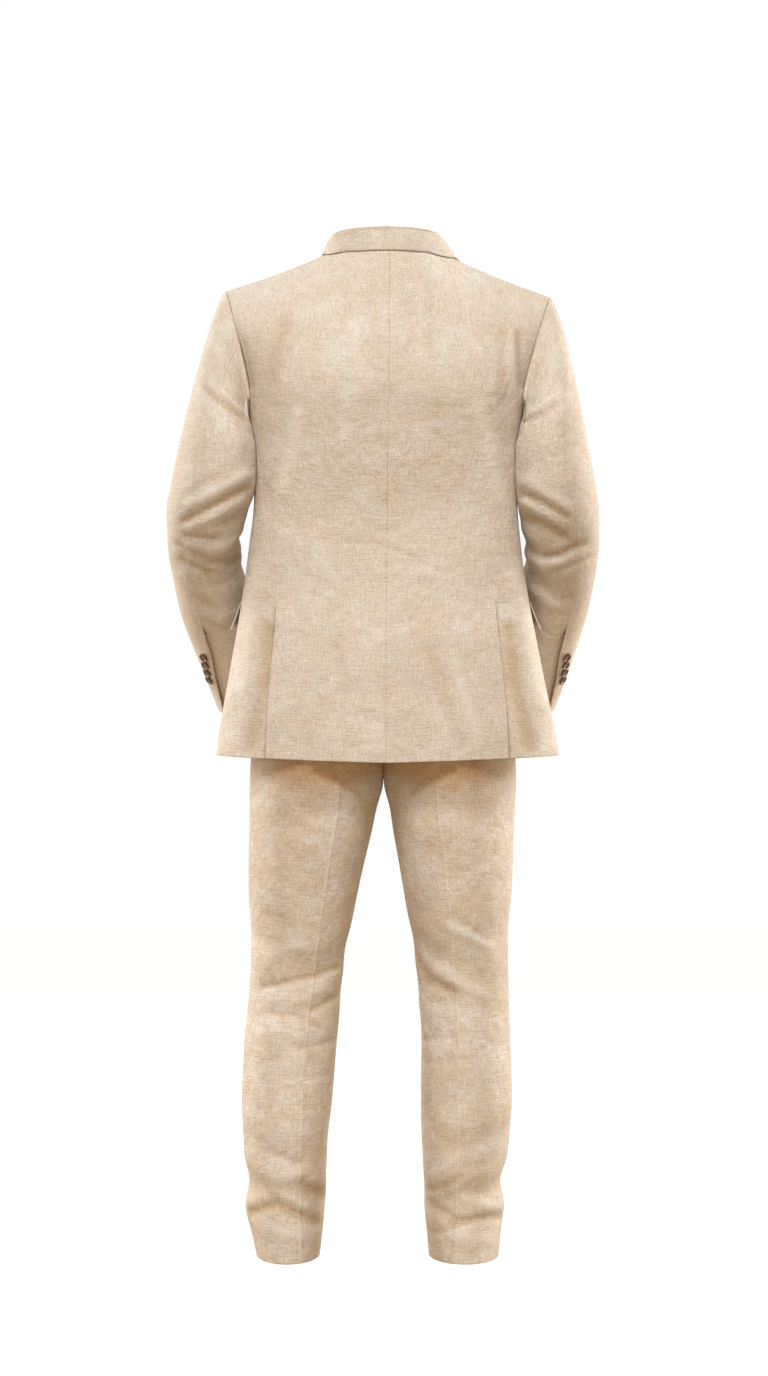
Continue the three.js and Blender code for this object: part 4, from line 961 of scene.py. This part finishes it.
def panel(name, cloth, rests_on, surface, rows, first, last, outward, size, held="hung", lift=None,
          creases=None, middle=None, open_edge=None, shade=None, head=None, crease_highlight=False):
    """A cut panel: rows of v, each from a first to a last place u, and by a middle place if given."""
    width, length = size
    v = panel_rows(rows, length)
    start = np.broadcast_to(first(v), v.shape)[:, None]
    stop = np.broadcast_to(last(v), v.shape)[:, None]
    share = spread(width, WEAVE_STEP)
    if middle is not None:
        clear = np.abs(share - 0.5) > CREASE_CLEARANCE / width
        share = np.sort(np.concatenate([share[clear], 0.5 + np.array(CREASE_STEPS) / width]))
    u = mix(start, stop, share)
    if middle is not None:
        bow = np.broadcast_to(middle(v), v.shape)[:, None] - (start + stop) / 2
        u = u + bow * 4 * share * (1 - share)
    share = np.broadcast_to(share, u.shape)
    v = np.broadcast_to(v[:, None], u.shape)
    base = surface(u, v)
    normal = normals(surface, u, v, outward)
    depth = np.zeros(u.shape)
    if creases is not None:
        table, span, seen = creases
        depth = fold_depth(table, span, u, v) + seen_depth(seen, base, normal)
        base = base - normal * depth[..., None]
    raised = np.zeros(u.shape) if lift is None else lift(u, v, share)
    tone = SEAM_TONE if open_edge is None else open_edge(v, share)
    first_row = 0.0 if head is None else head(u)
    made = cloth_wall(name, cloth[1], base, normal, raised, tone, first_row)
    # Where the pressed crease stands highest, it gets a painted highlight
    line = np.clip((raised - CREASE_HIGHLIGHT_FROM) / (PRESSED_HEIGHT - CREASE_HIGHLIGHT_FROM), 0, 1)
    mark(made[0], "pressed", line * crease_highlight)
    # The folds' depth, which also sets painted shade in troughs and a painted highlight on ridges
    mark(made[0], "fold", depth)
    mark(made[0], "shade", np.zeros(u.shape) if shade is None else shade(u, v))
    sheet(made, name, cloth)


def underlap(share):
    """How deep a panel's lap lies under its neighbour, from the edge to where it comes up."""
    return -UNDERLAP_DEPTH * (1 - smooth(*UNDERLAP_SHARES, share))


def lap_shade(surface, seam, u, v):
    """The painted shade on an underlap, beside the edge that lies over it."""
    away = (u - seam) / per_millimetre(surface, u, v)
    return np.exp(-np.maximum(away, 0) / VENT_SHADE_REACH)


# Jacket panels
def front_level(side, v):
    return body_point(side, FRONT_LEVEL_U, v)[..., 2]


def front_reach(side, v):
    """How far a front edge stands past the centre line in one row."""
    return look_up(FRONT_EDGE, front_level(side, v), 1)


def front_edge_u(side, surface, v):
    reach = front_reach(side, v)
    return np.where(reach > 0, shifted(surface, 1, v, reach), front_u(side, v, -reach))


def side_seam(side, v):
    level = body_point(side, SIDE_LEVEL_U, v)[..., 2]
    return np.where(v >= UNDERARM_V, ARMHOLE_BACK_U, look_up(SIDE_BACK_SEAM, level, 1))


def under_lift(side, surface):
    """The right front dips under the left one along the overlap."""
    def lift(u, v, share):
        covered = smooth(*OVERLAP_REACH, front_reach(side, v))
        return -UNDERLAP_DEPTH * covered * smooth(*OVERLAP_X, surface(u, v)[..., 0])
    return lift


def jacket_panels(side, cloth):
    surface = jacket_surface(side)
    outward = -SIGN[side]
    back, flank, front = (f"jacket_{place}_{side}" for place in ("back", "side", "front"))
    creases = (BODY_CREASES[side], BODY_SPAN, SEEN_ON_BODY)
    vent_top = body_v(side, VENT_LEVEL_U, VENT_TOP_Z)
    breaks = (0, vent_top, vent_top + VENT_STEP_V)

    def side_first(v):
        return shifted(surface, side_seam(side, v), v, np.where(v <= vent_top, -VENT_UNDERLAP, HALF_GAP))

    def tuck(u, v, share):
        return underlap(share) * (1 - smooth(vent_top, vent_top + VENT_BLEND_V, v))

    # Painted shadow along the vent's open edge, and a weaker one on the centre seam
    def back_edges(v, share):
        return np.where(share < 0.5, CENTRE_SEAM_TONE, np.where(v < vent_top, 1, SEAM_TONE))

    # Painted shade on the flank beside the vent's open edge
    def under_vent(u, v):
        open_part = 1 - smooth(vent_top - VENT_STEP_V, vent_top, v)
        return lap_shade(surface, side_seam(side, v), u, v) * open_part

    panel(back, cloth, [flank, "collar"], surface, (*breaks, 1),
          lambda v: shifted(surface, 0, v, HALF_GAP),
          lambda v: shifted(surface, side_seam(side, v), v, -HALF_GAP),
          outward, (215, 770), creases=creases, open_edge=back_edges)
    panel(flank, cloth, [back, front], surface, (*breaks, UNDERARM_V), side_first,
          lambda v: shifted(surface, ARMHOLE_FRONT_U, v, -HALF_GAP),
          outward, (110, 520), lift=tuck, creases=creases, shade=under_vent)
    panel(front, cloth, [flank, "collar"], surface, (0, UNDERARM_V, 1),
          lambda v: shifted(surface, ARMHOLE_FRONT_U, v, HALF_GAP),
          lambda v: front_edge_u(side, surface, v), outward, (230, 770),
          lift=under_lift(side, surface) if side == "right" else None, creases=creases)


def lapel(side, cloth):
    """Turned back from the roll line onto its front."""
    surface = jacket_surface(side)
    rows = [body_v(side, FRONT_LEVEL_U, level) for level in (LAPEL_LOW_Z[side], LAPEL_TOP_Z)]

    def place(v, x):
        return np.where(x > 0, front_u(side, v, x), shifted(surface, 1, v, -x))

    def last(v):
        reach = front_reach(side, v)
        cover = reach + LAPEL_COVER if side == "right" else -reach
        return place(v, np.maximum(-reach, cover))

    panel(f"lapel_{side}", cloth, [f"jacket_front_{side}"], surface, rows,
          lambda v: place(v, look_up(LAPEL_EDGE, front_level(side, v), 1)), last,
          -SIGN[side], (60, 300), held="draped",
          lift=lambda u, v, share: LAPEL_LIFT + LAPEL_ROLL * share ** 3)


def pocket_flap(side, cloth):
    levels = (FLAP_TOP_Z - FLAP_HEIGHT, FLAP_TOP_Z)
    bottom, top = (body_v(side, FLAP_LEVEL_U, level) for level in levels)

    def kick(u, v, share):
        drop = np.clip((top - v) / (top - bottom), 0, 1)
        return FLAP_LIFT + FLAP_KICK * (1 - share) ** 1.5 * drop ** 1.3

    panel(f"pocket_flap_{side}", cloth, [f"jacket_front_{side}"], jacket_surface(side),
          (bottom, top), lambda v: FLAP_FIRST_U, lambda v: FLAP_LAST_U, -SIGN[side],
          (90, FLAP_HEIGHT), lift=kick)


# Sleeves
def sleeves(side, cloth):
    top, under = (f"sleeve_{place}_{side}" for place in ("top", "under"))
    back, flank, front = (f"jacket_{place}_{side}" for place in ("back", "side", "front"))
    creases = (SLEEVE_CREASES[side], SLEEVE_SPAN, SEEN_ON_SLEEVES)
    rows = (0, CUFF_SLIT_S - CUFF_STEP_S, CUFF_SLIT_S, 1)

    def surface(a, s):
        return sleeve_point(side, a, s)

    def hind(s, distance):
        return shifted(surface, look_up(HIND_SEAM, s, 1), s, distance)

    def slit(s):
        return smooth(CUFF_SLIT_S - CUFF_BLEND_S, CUFF_SLIT_S, s)

    # The painted shadow along the armhole seam, darker and wider toward the underarm
    def armhole_tone(u):
        down = np.minimum(u % 1, 1 - u % 1)
        return mix(ARMHOLE_TONE, UNDERARM_TONE, smooth(*UNDERARM_FROM, down))

    panel(top, cloth, [back, front, under], surface, rows,
          lambda s: shifted(surface, FORE_SEAM - 1, s, HALF_GAP), lambda s: hind(s, -HALF_GAP),
          -SIGN[side], (240, 680), creases=creases, head=armhole_tone,
          open_edge=lambda s, share: np.where((s > CUFF_SLIT_S) & (share > 0.5), 1, SEAM_TONE))
    # The under sleeve gets a painted shade beside the cuff slit's edge
    panel(under, cloth, [top, flank], surface, rows,
          lambda s: hind(s, np.where(s >= CUFF_SLIT_S, -CUFF_UNDERLAP, HALF_GAP)),
          lambda s: shifted(surface, FORE_SEAM, s, -HALF_GAP),
          -SIGN[side], (130, 640), lift=lambda u, s, share: underlap(share) * slit(s),
          creases=creases, head=armhole_tone,
          shade=lambda u, s: lap_shade(surface, look_up(HIND_SEAM, s, 1), u, s) * slit(s))


def collar(cloth):
    """A leaf folded over its stand, round the neck from one front to the other."""
    length, height = COLLAR_SIZE
    around = -1 + 2 * spread(length, WEAVE_STEP)
    rise = spread(height, COLLAR_STEP)
    c, p = np.broadcast_arrays(around[:, None], rise[None, :])
    base = collar_point(c, p)
    normal = normals(collar_point, c.clip(-0.995, 0.995), p.clip(0.005, 0.995), 1)
    made = cloth_wall("collar", cloth[1], base, normal, np.zeros(c.shape), COLLAR_TONE)
    mark(made[0], "pressed", np.zeros(c.shape))
    sheet(made, "collar", cloth)


# Trousers
def leg_front(side):
    return lambda a, v: leg_point(side, np.maximum(a, LEG_FRONT_A), v)


def trouser_panels(side, cloth):
    outward = SIGN[side]
    front = leg_front(side)
    back_name, front_name, band_name = (
        f"{place}_{side}" for place in ("trouser_back", "trouser_front", "waistband"))
    creases = (LEG_CREASES[side], LEG_SPAN, SEEN_ON_LEGS)

    def back(a, v):
        return leg_point(side, np.minimum(a, LEG_BACK_A), v)

    def band(a, v):
        wrapped = np.where(a < 0, np.maximum(a + 1, LEG_FRONT_A), np.minimum(a, LEG_BACK_A))
        return leg_point(side, wrapped, v)

    def leg_gap(v):
        return np.where(v <= BELOW_CROTCH_V, HALF_GAP, 0)

    def crease_line(v):
        wanted = look_up(PRESSED_CREASE[side], leg_point(side, 0.25, v)[..., 2], 1)
        return solve(0.08, 0.42, lambda a: outward * leg_point(side, a, v)[..., 0] < outward * wanted)

    def pressed(a, v, share):
        away = (share - 0.5) * LEG_PANEL_SIZE[0]
        low_part = 1 - smooth(PRESSED_TOP_V, CROTCH_V, v)
        return PRESSED_HEIGHT * np.exp(-np.abs(away) / PRESSED_REACH) * low_part

    def under_skirt(a, v, share):
        """The pressed crease, and the seat held in from the skirt that hangs over it."""
        low, full, last, high = UNDER_SKIRT_Z
        level = leg_point(side, a, v)[..., 2]
        held = smooth(low, full, level) * (1 - smooth(last, high, level))
        held = held * smooth(*UNDER_SKIRT_A, a)
        return pressed(a, v, share) - UNDER_SKIRT_DEPTH * held

    def under_hem(a, v):
        """The painted shade of the jacket's hem: deepest down the middle of the back, half at the sides.
        """
        level = leg_point(side, a, v)[..., 2]
        deep = smooth(*HEM_SHADE_DEEP_A, a) * (1 - smooth(*HEM_SHADE_SHALLOW_A, a))
        depth = mix(*HEM_SHADE_DEPTH, deep)
        behind = mix(HEM_SHADE_AT_SIDE, 1, smooth(*HEM_SHADE_STRONG_A, a))
        before = HEM_SHADE_AT_SIDE * smooth(*HEM_SHADE_FRONT_A, a)
        strength = np.where(a < 0.5, behind, before)
        return strength * smooth(HEM_SHADE_Z - depth, HEM_SHADE_Z, level)

    seam = float(solve(CROTCH_V, 1, lambda v: leg_point(side, 0.0, v)[..., 2] > WAIST_SEAM_Z))
    gap = WAIST_SEAM_GAP * (1 - CROTCH_V) / (WAIST_TOP_Z - CROTCH_Z)
    rows = (0, BELOW_CROTCH_V, CROTCH_V, seam - gap)
    options = {"creases": creases, "shade": under_hem, "crease_highlight": True}
    panel(back_name, cloth, [front_name, band_name], back, rows,
          lambda v: shifted(back, 0, v, HALF_GAP),
          lambda v: shifted(back, LEG_BACK_A, v, -leg_gap(v)), outward, LEG_PANEL_SIZE,
          lift=under_skirt, middle=crease_line, **options)
    panel(front_name, cloth, [back_name, band_name], front, rows,
          lambda v: shifted(front, LEG_FRONT_A, v, leg_gap(v)),
          lambda v: shifted(front, 1, v, -HALF_GAP), outward, LEG_PANEL_SIZE,
          lift=pressed, middle=lambda v: 0.75, **options)
    panel(band_name, cloth, [back_name, front_name], band, (seam, 1),
          lambda v: -LEG_BACK_A, lambda v: LEG_BACK_A, outward, (420, 37))
    if side == "left":
        fly(front, seam - 2 * gap, cloth)


def leg_place(v, x):
    """The place round the left leg's front where the cloth passes x."""
    return solve(0.5, 0.7, lambda a: leg_front("left")(a, v)[..., 0] > x)


def fly(front, top, cloth):
    low = float(solve(CROTCH_V, 1, lambda v: leg_point("left", 0.55, v)[..., 2] > FLY_LOW_Z))
    panel("fly", cloth, ["trouser_front_left"], front, (low, top),
          lambda v: leg_place(v, FLY_FIRST_X), lambda v: leg_place(v, FLY_LAST_X), 1, (34, 130),
          lift=lambda u, v, share: np.full(u.shape, FLY_LIFT))


# Buttons
def select_top(mesh, height):
    """Selects the one face at the top of a turned blank."""
    for face in mesh.polygons:
        face.select = face.center.z > height - 1e-5 and face.normal.z > 0.9
    for part in (*mesh.vertices, *mesh.edges):
        part.select = False


def select_only(active, *others):
    bpy.ops.object.select_all(action="DESELECT")
    for item in (*others, active):
        item.select_set(True)
    bpy.context.view_layer.objects.active = active


def dish(blank, radius, height):
    """Steps the top face inward and down, from the raised rim to the sewing face."""
    select_only(blank)
    bpy.ops.object.mode_set(mode="EDIT")
    for width, depth in DISH_STEPS:
        bpy.ops.mesh.inset(thickness=width * radius, depth=depth * height)
    bpy.ops.object.mode_set(mode="OBJECT")


def button_blank(size, material, thread):
    """A turned disc with a raised rim, a dished face, four holes and a cross of thread."""
    radius, height = (length * MM for length in size)
    bpy.ops.mesh.primitive_cylinder_add(
        vertices=48, radius=radius, depth=height, location=(0, 0, height / 2))
    blank = bpy.context.active_object
    bpy.ops.object.transform_apply(location=True)
    select_top(blank.data, height)
    dish(blank, radius, height)
    rim = blank.modifiers.new("rim", "BEVEL")
    rim.width = RIM_BEVEL * height
    rim.segments = 3
    rim.limit_method = "ANGLE"
    rim.angle_limit = math.radians(50)
    bpy.ops.object.modifier_apply(modifier="rim")
    reach = HOLE_PLACE * radius
    for dx, dy in ((1, 1), (1, -1), (-1, 1), (-1, -1)):
        pierce(blank, (reach * dx, reach * dy), HOLE_RADIUS * radius, height)
    blank.data.materials.append(material)
    blank.data.materials.append(thread)
    bars = [stitch(blank, reach, turn, THREAD_LEVEL * height) for turn in (45, -45)]
    select_only(blank, *bars)
    bpy.ops.object.join()
    bpy.ops.object.shade_smooth_by_angle(angle=math.radians(40))
    return blank


def pierce(blank, place, radius, height):
    bpy.ops.mesh.primitive_cylinder_add(
        vertices=16, radius=radius, depth=4 * height, location=(*place, height / 2))
    drill = bpy.context.active_object
    cut = blank.modifiers.new("hole", "BOOLEAN")
    cut.operation = "DIFFERENCE"
    cut.object = drill
    bpy.context.view_layer.objects.active = blank
    bpy.ops.object.modifier_apply(modifier="hole")
    bpy.data.objects.remove(drill, do_unlink=True)


def stitch(blank, reach, turn, height):
    """One bar of thread between two opposite holes."""
    length = 2 * math.sqrt(2) * reach
    bpy.ops.mesh.primitive_cylinder_add(
        vertices=10, radius=THREAD_RADIUS * reach, depth=length, location=(0, 0, height),
        rotation=(math.pi / 2, 0, math.radians(turn)))
    bar = bpy.context.active_object
    bpy.ops.object.transform_apply(location=True, rotation=True)
    for material in blank.data.materials:
        bar.data.materials.append(material)
    for face in bar.data.polygons:
        face.material_index = 1
    return bar


def seat_button(blank, name, surface, u, v, outward):
    """Places a copy of the blank on the cloth, its face along the surface's normal."""
    u, v = np.array([u], float), np.array([v], float)
    normal = Vector(normals(surface, u, v, outward)[0])
    seat = Vector(surface(u, v)[0]) + normal * BUTTON_GAP
    turn = Vector((0, 0, 1)).rotation_difference(normal).to_matrix().to_4x4()
    piece = bpy.data.objects.new(f"{name}_turned", blank.data.copy())
    bpy.context.collection.objects.link(piece)
    piece.data.transform(Matrix.Translation(seat * MM) @ turn)
    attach(piece, "root")
    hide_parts(name)


def cuff_seat(side, k):
    """Where one button of a cuff goes: on the top sleeve, beside the hind-arm seam."""
    def surface(a, s):
        return sleeve_point(side, a, s)

    s = mix(*CUFF_BUTTON_S, k / (CUFF_BUTTONS - 1))
    a = float(look_up(HIND_SEAM, s, 1)) - CUFF_BUTTON_INSET * float(per_millimetre(surface, 0.1, s))
    return f"cuff_button_{side}_{k + 1}", surface, a, s, -SIGN[side]


def buttons(material, thread):
    front = jacket_surface("left")
    waist = float(leg_place(WAIST_BUTTON_V, WAIST_BUTTON_X))
    front_seats = [(f"front_button_{k + 1}", front, 1, body_v("left", FRONT_BUTTON_U, level), -1)
                   for k, level in enumerate(FRONT_BUTTON_LEVELS)]
    cuff_seats = [cuff_seat(side, k) for side in SIGN for k in range(CUFF_BUTTONS)]
    waist_seats = [("waist_button", leg_front("left"), waist, WAIST_BUTTON_V, 1)]
    for size, seats in (
        (FRONT_BUTTON, front_seats), (CUFF_BUTTON, cuff_seats), (WAIST_BUTTON, waist_seats),
    ):
        blank = button_blank(size, material, thread)
        for seat in seats:
            seat_button(blank, *seat)
        bpy.data.objects.remove(blank, do_unlink=True)


# Materials
def feed(tree, socket, value):
    """Links a socket to another node's output, or sets its constant."""
    if isinstance(value, bpy.types.NodeSocket):
        tree.links.new(value, socket)
    else:
        socket.default_value = value


def add_node(tree, kind, **values):
    """A shader node with its inputs fed by name, or by number as i0, i1 and so on."""
    node = tree.nodes.new(kind)
    for key, value in values.items():
        if key.startswith("i") and key[1:].isdigit():
            feed(tree, node.inputs[int(key[1:])], value)
        elif key in node.inputs:
            feed(tree, node.inputs[key], value)
        else:
            setattr(node, key, value)
    return node


def combine(tree, operation, first, second):
    node = add_node(tree, "ShaderNodeMath", operation=operation, i0=first, i1=second)
    return node.outputs["Value"]


def times(tree, value, share):
    return combine(tree, "MULTIPLY", value, share)


def tint(tree, kind, factor, first, second):
    """Mixes two colours; either may be a constant."""
    node = add_node(tree, "ShaderNodeMix", data_type="RGBA", blend_type=kind)
    for name, value in (("Factor", factor), ("A", first), ("B", second)):
        socket = [item for item in node.inputs if item.name == name and item.enabled][0]
        feed(tree, socket, (*value, 1) if isinstance(value, tuple) else value)
    return [item for item in node.outputs if item.enabled][0]


def cut_range(tree, value, low, high, least=0.0, most=1.0):
    node = add_node(tree, "ShaderNodeMapRange", Value=value, i1=low, i2=high, i3=least, i4=most)
    return node.outputs["Result"]


def stored(tree, name):
    """A value that mark() stored in the mesh."""
    return add_node(tree, "ShaderNodeAttribute", attribute_name=name).outputs["Fac"]


def slubs(tree, cloth, scale, low, high, seed):
    """Noise drawn out along one axis, cut to its peaks: the thick threads of a slubby weave."""
    place = add_node(tree, "ShaderNodeMapping", Vector=cloth, Scale=(*scale, 1),
                     Location=(seed, 2 * seed, 0))
    noise = add_node(tree, "ShaderNodeTexNoise", Vector=place.outputs["Vector"], Scale=1.0,
                     Detail=2.0, Roughness=0.5)
    return cut_range(tree, noise.outputs["Fac"], low, high)


def patches(tree, vector, scale, low, high, least=0.0, most=1.0):
    """Soft irregular patches, from a least to a most value."""
    noise = add_node(tree, "ShaderNodeTexNoise", Vector=vector, Scale=scale, Detail=4.0,
                     Roughness=0.62)
    return cut_range(tree, noise.outputs["Fac"], low, high, least, most)


def crumpled(tree, place, scale, width):
    """Low facets that meet in fine straight creases, as in linen that was sat in."""
    noise = add_node(tree, "ShaderNodeTexNoise", Vector=place, Scale=0.7 * scale, Detail=2.0)
    bent = add_node(tree, "ShaderNodeVectorMath", operation="SCALE", i0=noise.outputs["Color"],
                    Scale=0.6 / scale)
    moved = add_node(tree, "ShaderNodeVectorMath", operation="ADD", i0=place,
                     i1=bent.outputs["Vector"])
    cells = add_node(tree, "ShaderNodeTexVoronoi", feature="DISTANCE_TO_EDGE", Scale=scale,
                     Vector=moved.outputs["Vector"])
    return cut_range(tree, cells.outputs["Distance"], 0, width)


def thread_wave(tree, cloth, direction):
    wave = add_node(tree, "ShaderNodeTexWave", Scale=280.0, Distortion=1.2, wave_type="BANDS",
                    bands_direction=direction, Vector=cloth)
    wave.inputs["Detail Scale"].default_value = 2.0
    return wave.outputs["Fac"]


def mixed_tones(tree, place, cloth, tones):
    """The ground colour: pale cloth with darker, warmer and greyer patches, and a fine fleck."""
    clouds = patches(tree, place, *CLOUDS)
    ground = tint(tree, "MIX", clouds, tones["dark"], tones["light"])
    for scale, low, high, most, tone in PATCHES:
        spots = patches(tree, place, scale, low, high, 0.0, most)
        ground = tint(tree, "MIX", spots, ground, tones[tone])
    return tint(tree, "MULTIPLY", 1.0, ground, patches(tree, cloth, *FLECKS))


def threads_and_painted_light(tree, colour, cloth, slub, tones):
    """Threads, and painted light: painted shadow with some dirt along seams, a painted highlight on the
    pressed crease, painted shade in troughs and a painted highlight on ridges, and painted shade in a
    vent or under a hem.
    """
    pale_warp = slubs(tree, cloth, (450, 55), 0.52, 0.7, 29)
    seam = cut_range(tree, stored(tree, "edge"), 0.35, 0.85)
    fold = stored(tree, "fold")
    for kind, factor, tone in (
        ("MULTIPLY", times(tree, slub, 0.5), SLUB_TONE),
        ("MIX", times(tree, pale_warp, 0.3), PALE_THREAD),
        ("MIX", times(tree, seam, 0.75), tones["seam"]),
        ("MIX", times(tree, stored(tree, "pressed"), 0.32), PRESSED_CREASE_HIGHLIGHT),
        ("MULTIPLY", cut_range(tree, fold, 0.4, 3.0, 0.0, 0.9), TROUGH_PAINTED_SHADE),
        ("MIX", cut_range(tree, fold, -0.4, -2.6, 0.0, 0.5), RIDGE_PAINTED_HIGHLIGHT),
        ("MULTIPLY", times(tree, stored(tree, "shade"), 0.85), tones["shade"]),
    ):
        colour = tint(tree, kind, factor, colour, tone)
    return colour


def new_material(name):
    material = bpy.data.materials.new(name)
    material.use_nodes = True
    return material, material.node_tree


def set_shader(tree, **values):
    """Sets the shader's inputs; an underscore in a name stands for a space."""
    shader = tree.nodes["Principled BSDF"]
    for name, value in values.items():
        feed(tree, shader.inputs[name.replace("_", " ")], value)


def linen(name, tones):
    """Slubby plain-woven cloth: a fine weave, thick threads both ways and soft patches of tone."""
    material, tree = new_material(name)
    cloth = add_node(tree, "ShaderNodeUVMap", uv_map="cloth").outputs["UV"]
    place = add_node(tree, "ShaderNodeTexCoord").outputs["Object"]
    warp = slubs(tree, cloth, (430, 50), 0.48, 0.66, 3)
    weft = slubs(tree, cloth, (42, 450), 0.48, 0.66, 11)
    slub = combine(tree, "ADD", times(tree, warp, 0.6), times(tree, weft, 0.8))
    ground = mixed_tones(tree, place, cloth, tones)
    soft = times(tree, patches(tree, place, 30.0, 0.2, 0.8), 1.6)
    facets = combine(tree, "ADD", *(crumpled(tree, place, scale, 0.3) for scale in (16.0, 42.0)))
    lines = times(tree, facets, patches(tree, place, 7.0, 0.3, 0.8))
    crumple = add_node(tree, "ShaderNodeBump", Strength=1.0, Distance=0.001,
                       Height=combine(tree, "ADD", soft, lines))
    weave = combine(tree, "ADD", *(thread_wave(tree, cloth, way) for way in "XY"))
    bump = add_node(tree, "ShaderNodeBump", Strength=0.5, Distance=0.0005,
                    Height=combine(tree, "ADD", times(tree, weave, 0.35), slub),
                    Normal=crumple.outputs["Normal"])
    set_shader(tree, Roughness=0.92, Specular_IOR_Level=0.2, Sheen_Weight=0.18,
               Sheen_Roughness=0.45, Sheen_Tint=(1, 0.93, 0.84, 1),
               Base_Color=threads_and_painted_light(tree, ground, cloth, slub, tones),
               Normal=bump.outputs["Normal"])
    return material


def plain(name, colour, roughness, coat=0.0):
    material, tree = new_material(name)
    set_shader(tree, Base_Color=(*colour, 1), Roughness=roughness, Coat_Weight=coat)
    return material


# Light, camera and floor
def area_light(name, size, power, place, aim, colour):
    light = bpy.data.lights.new(name, "AREA")
    light.shape = "RECTANGLE"
    light.size, light.size_y = size
    light.energy = power
    light.color = colour
    holder = bpy.data.objects.new(name, light)
    holder.location = place
    holder.rotation_euler = (Vector(aim) - Vector(place)).to_track_quat("-Z", "Y").to_euler()
    holder.visible_camera = False
    bpy.context.collection.objects.link(holder)


def seen_or_lighting(tree, lighting, seen, output):
    """One shader where the camera sees the studio, another for the light that it gives the cloth."""
    ray = add_node(tree, "ShaderNodeLightPath").outputs["Is Camera Ray"]
    mixed = add_node(tree, "ShaderNodeMixShader", i0=ray, i1=lighting, i2=seen)
    add_node(tree, output, Surface=mixed.outputs[0])


def white_world():
    """White where the camera sees it, and a weaker, warmer even light on the cloth."""
    world = bpy.data.worlds.new("studio")
    bpy.context.scene.world = world
    world.use_nodes = True
    tree = world.node_tree
    tree.nodes.clear()
    dome = add_node(tree, "ShaderNodeBackground", Color=(1, 0.74, 0.48, 1), Strength=0.26)
    white = add_node(tree, "ShaderNodeBackground", Color=(1, 1, 1, 1), Strength=1.0)
    seen_or_lighting(tree, dome.outputs[0], white.outputs[0], "ShaderNodeOutputWorld")


def photo_camera():
    camera = bpy.data.cameras.new("photo")
    camera.lens = SENSOR * CAMERA_DISTANCE / (PHOTO_HEIGHT * PHOTO_SCALE)
    camera.sensor_width = SENSOR
    holder = bpy.data.objects.new("photo", camera)
    x, z = photo_middle()
    holder.location = (x * MM, CAMERA_DISTANCE * MM, z * MM)
    holder.rotation_euler = (math.pi / 2, 0, math.pi)
    bpy.context.collection.objects.link(holder)
    bpy.context.scene.camera = holder


def pale_floor():
    bpy.ops.mesh.primitive_plane_add(size=14, location=(0, 0, FLOOR_Z * MM))
    floor = bpy.context.active_object
    paper, tree = new_material("floor")
    tree.nodes.clear()
    bounce = add_node(tree, "ShaderNodeBsdfDiffuse", Color=(0.3, 0.22, 0.14, 1))
    lit = add_node(tree, "ShaderNodeBsdfDiffuse", Color=(0.12, 0.12, 0.12, 1))
    glow = add_node(tree, "ShaderNodeEmission", Color=(1, 1, 1, 1), Strength=0.96)
    both = add_node(tree, "ShaderNodeAddShader", i0=lit.outputs[0], i1=glow.outputs[0])
    seen_or_lighting(tree, bounce.outputs[0], both.outputs[0], "ShaderNodeOutputMaterial")
    floor.data.materials.append(paper)


def main():
    scene = bpy.context.scene
    scene.view_settings.view_transform = "Standard"
    jacket = ("jacket_cloth", JACKET_WALL, linen("jacket linen", JACKET_TONES))
    trouser = ("trouser_cloth", TROUSER_WALL, linen("trouser linen", TROUSER_TONES))
    horn = plain("brown horn", (0.09, 0.042, 0.02), 0.3, 0.35)
    thread = plain("thread", (0.42, 0.32, 0.22), 0.8)
    for side in SIGN:
        jacket_panels(side, jacket)
        lapel(side, jacket)
        pocket_flap(side, jacket)
        sleeves(side, jacket)
        trouser_panels(side, trouser)
    collar(jacket)
    buttons(horn, thread)
    white_world()
    for light in LIGHTS:
        area_light(*light)
    photo_camera()
    pale_floor()


main()
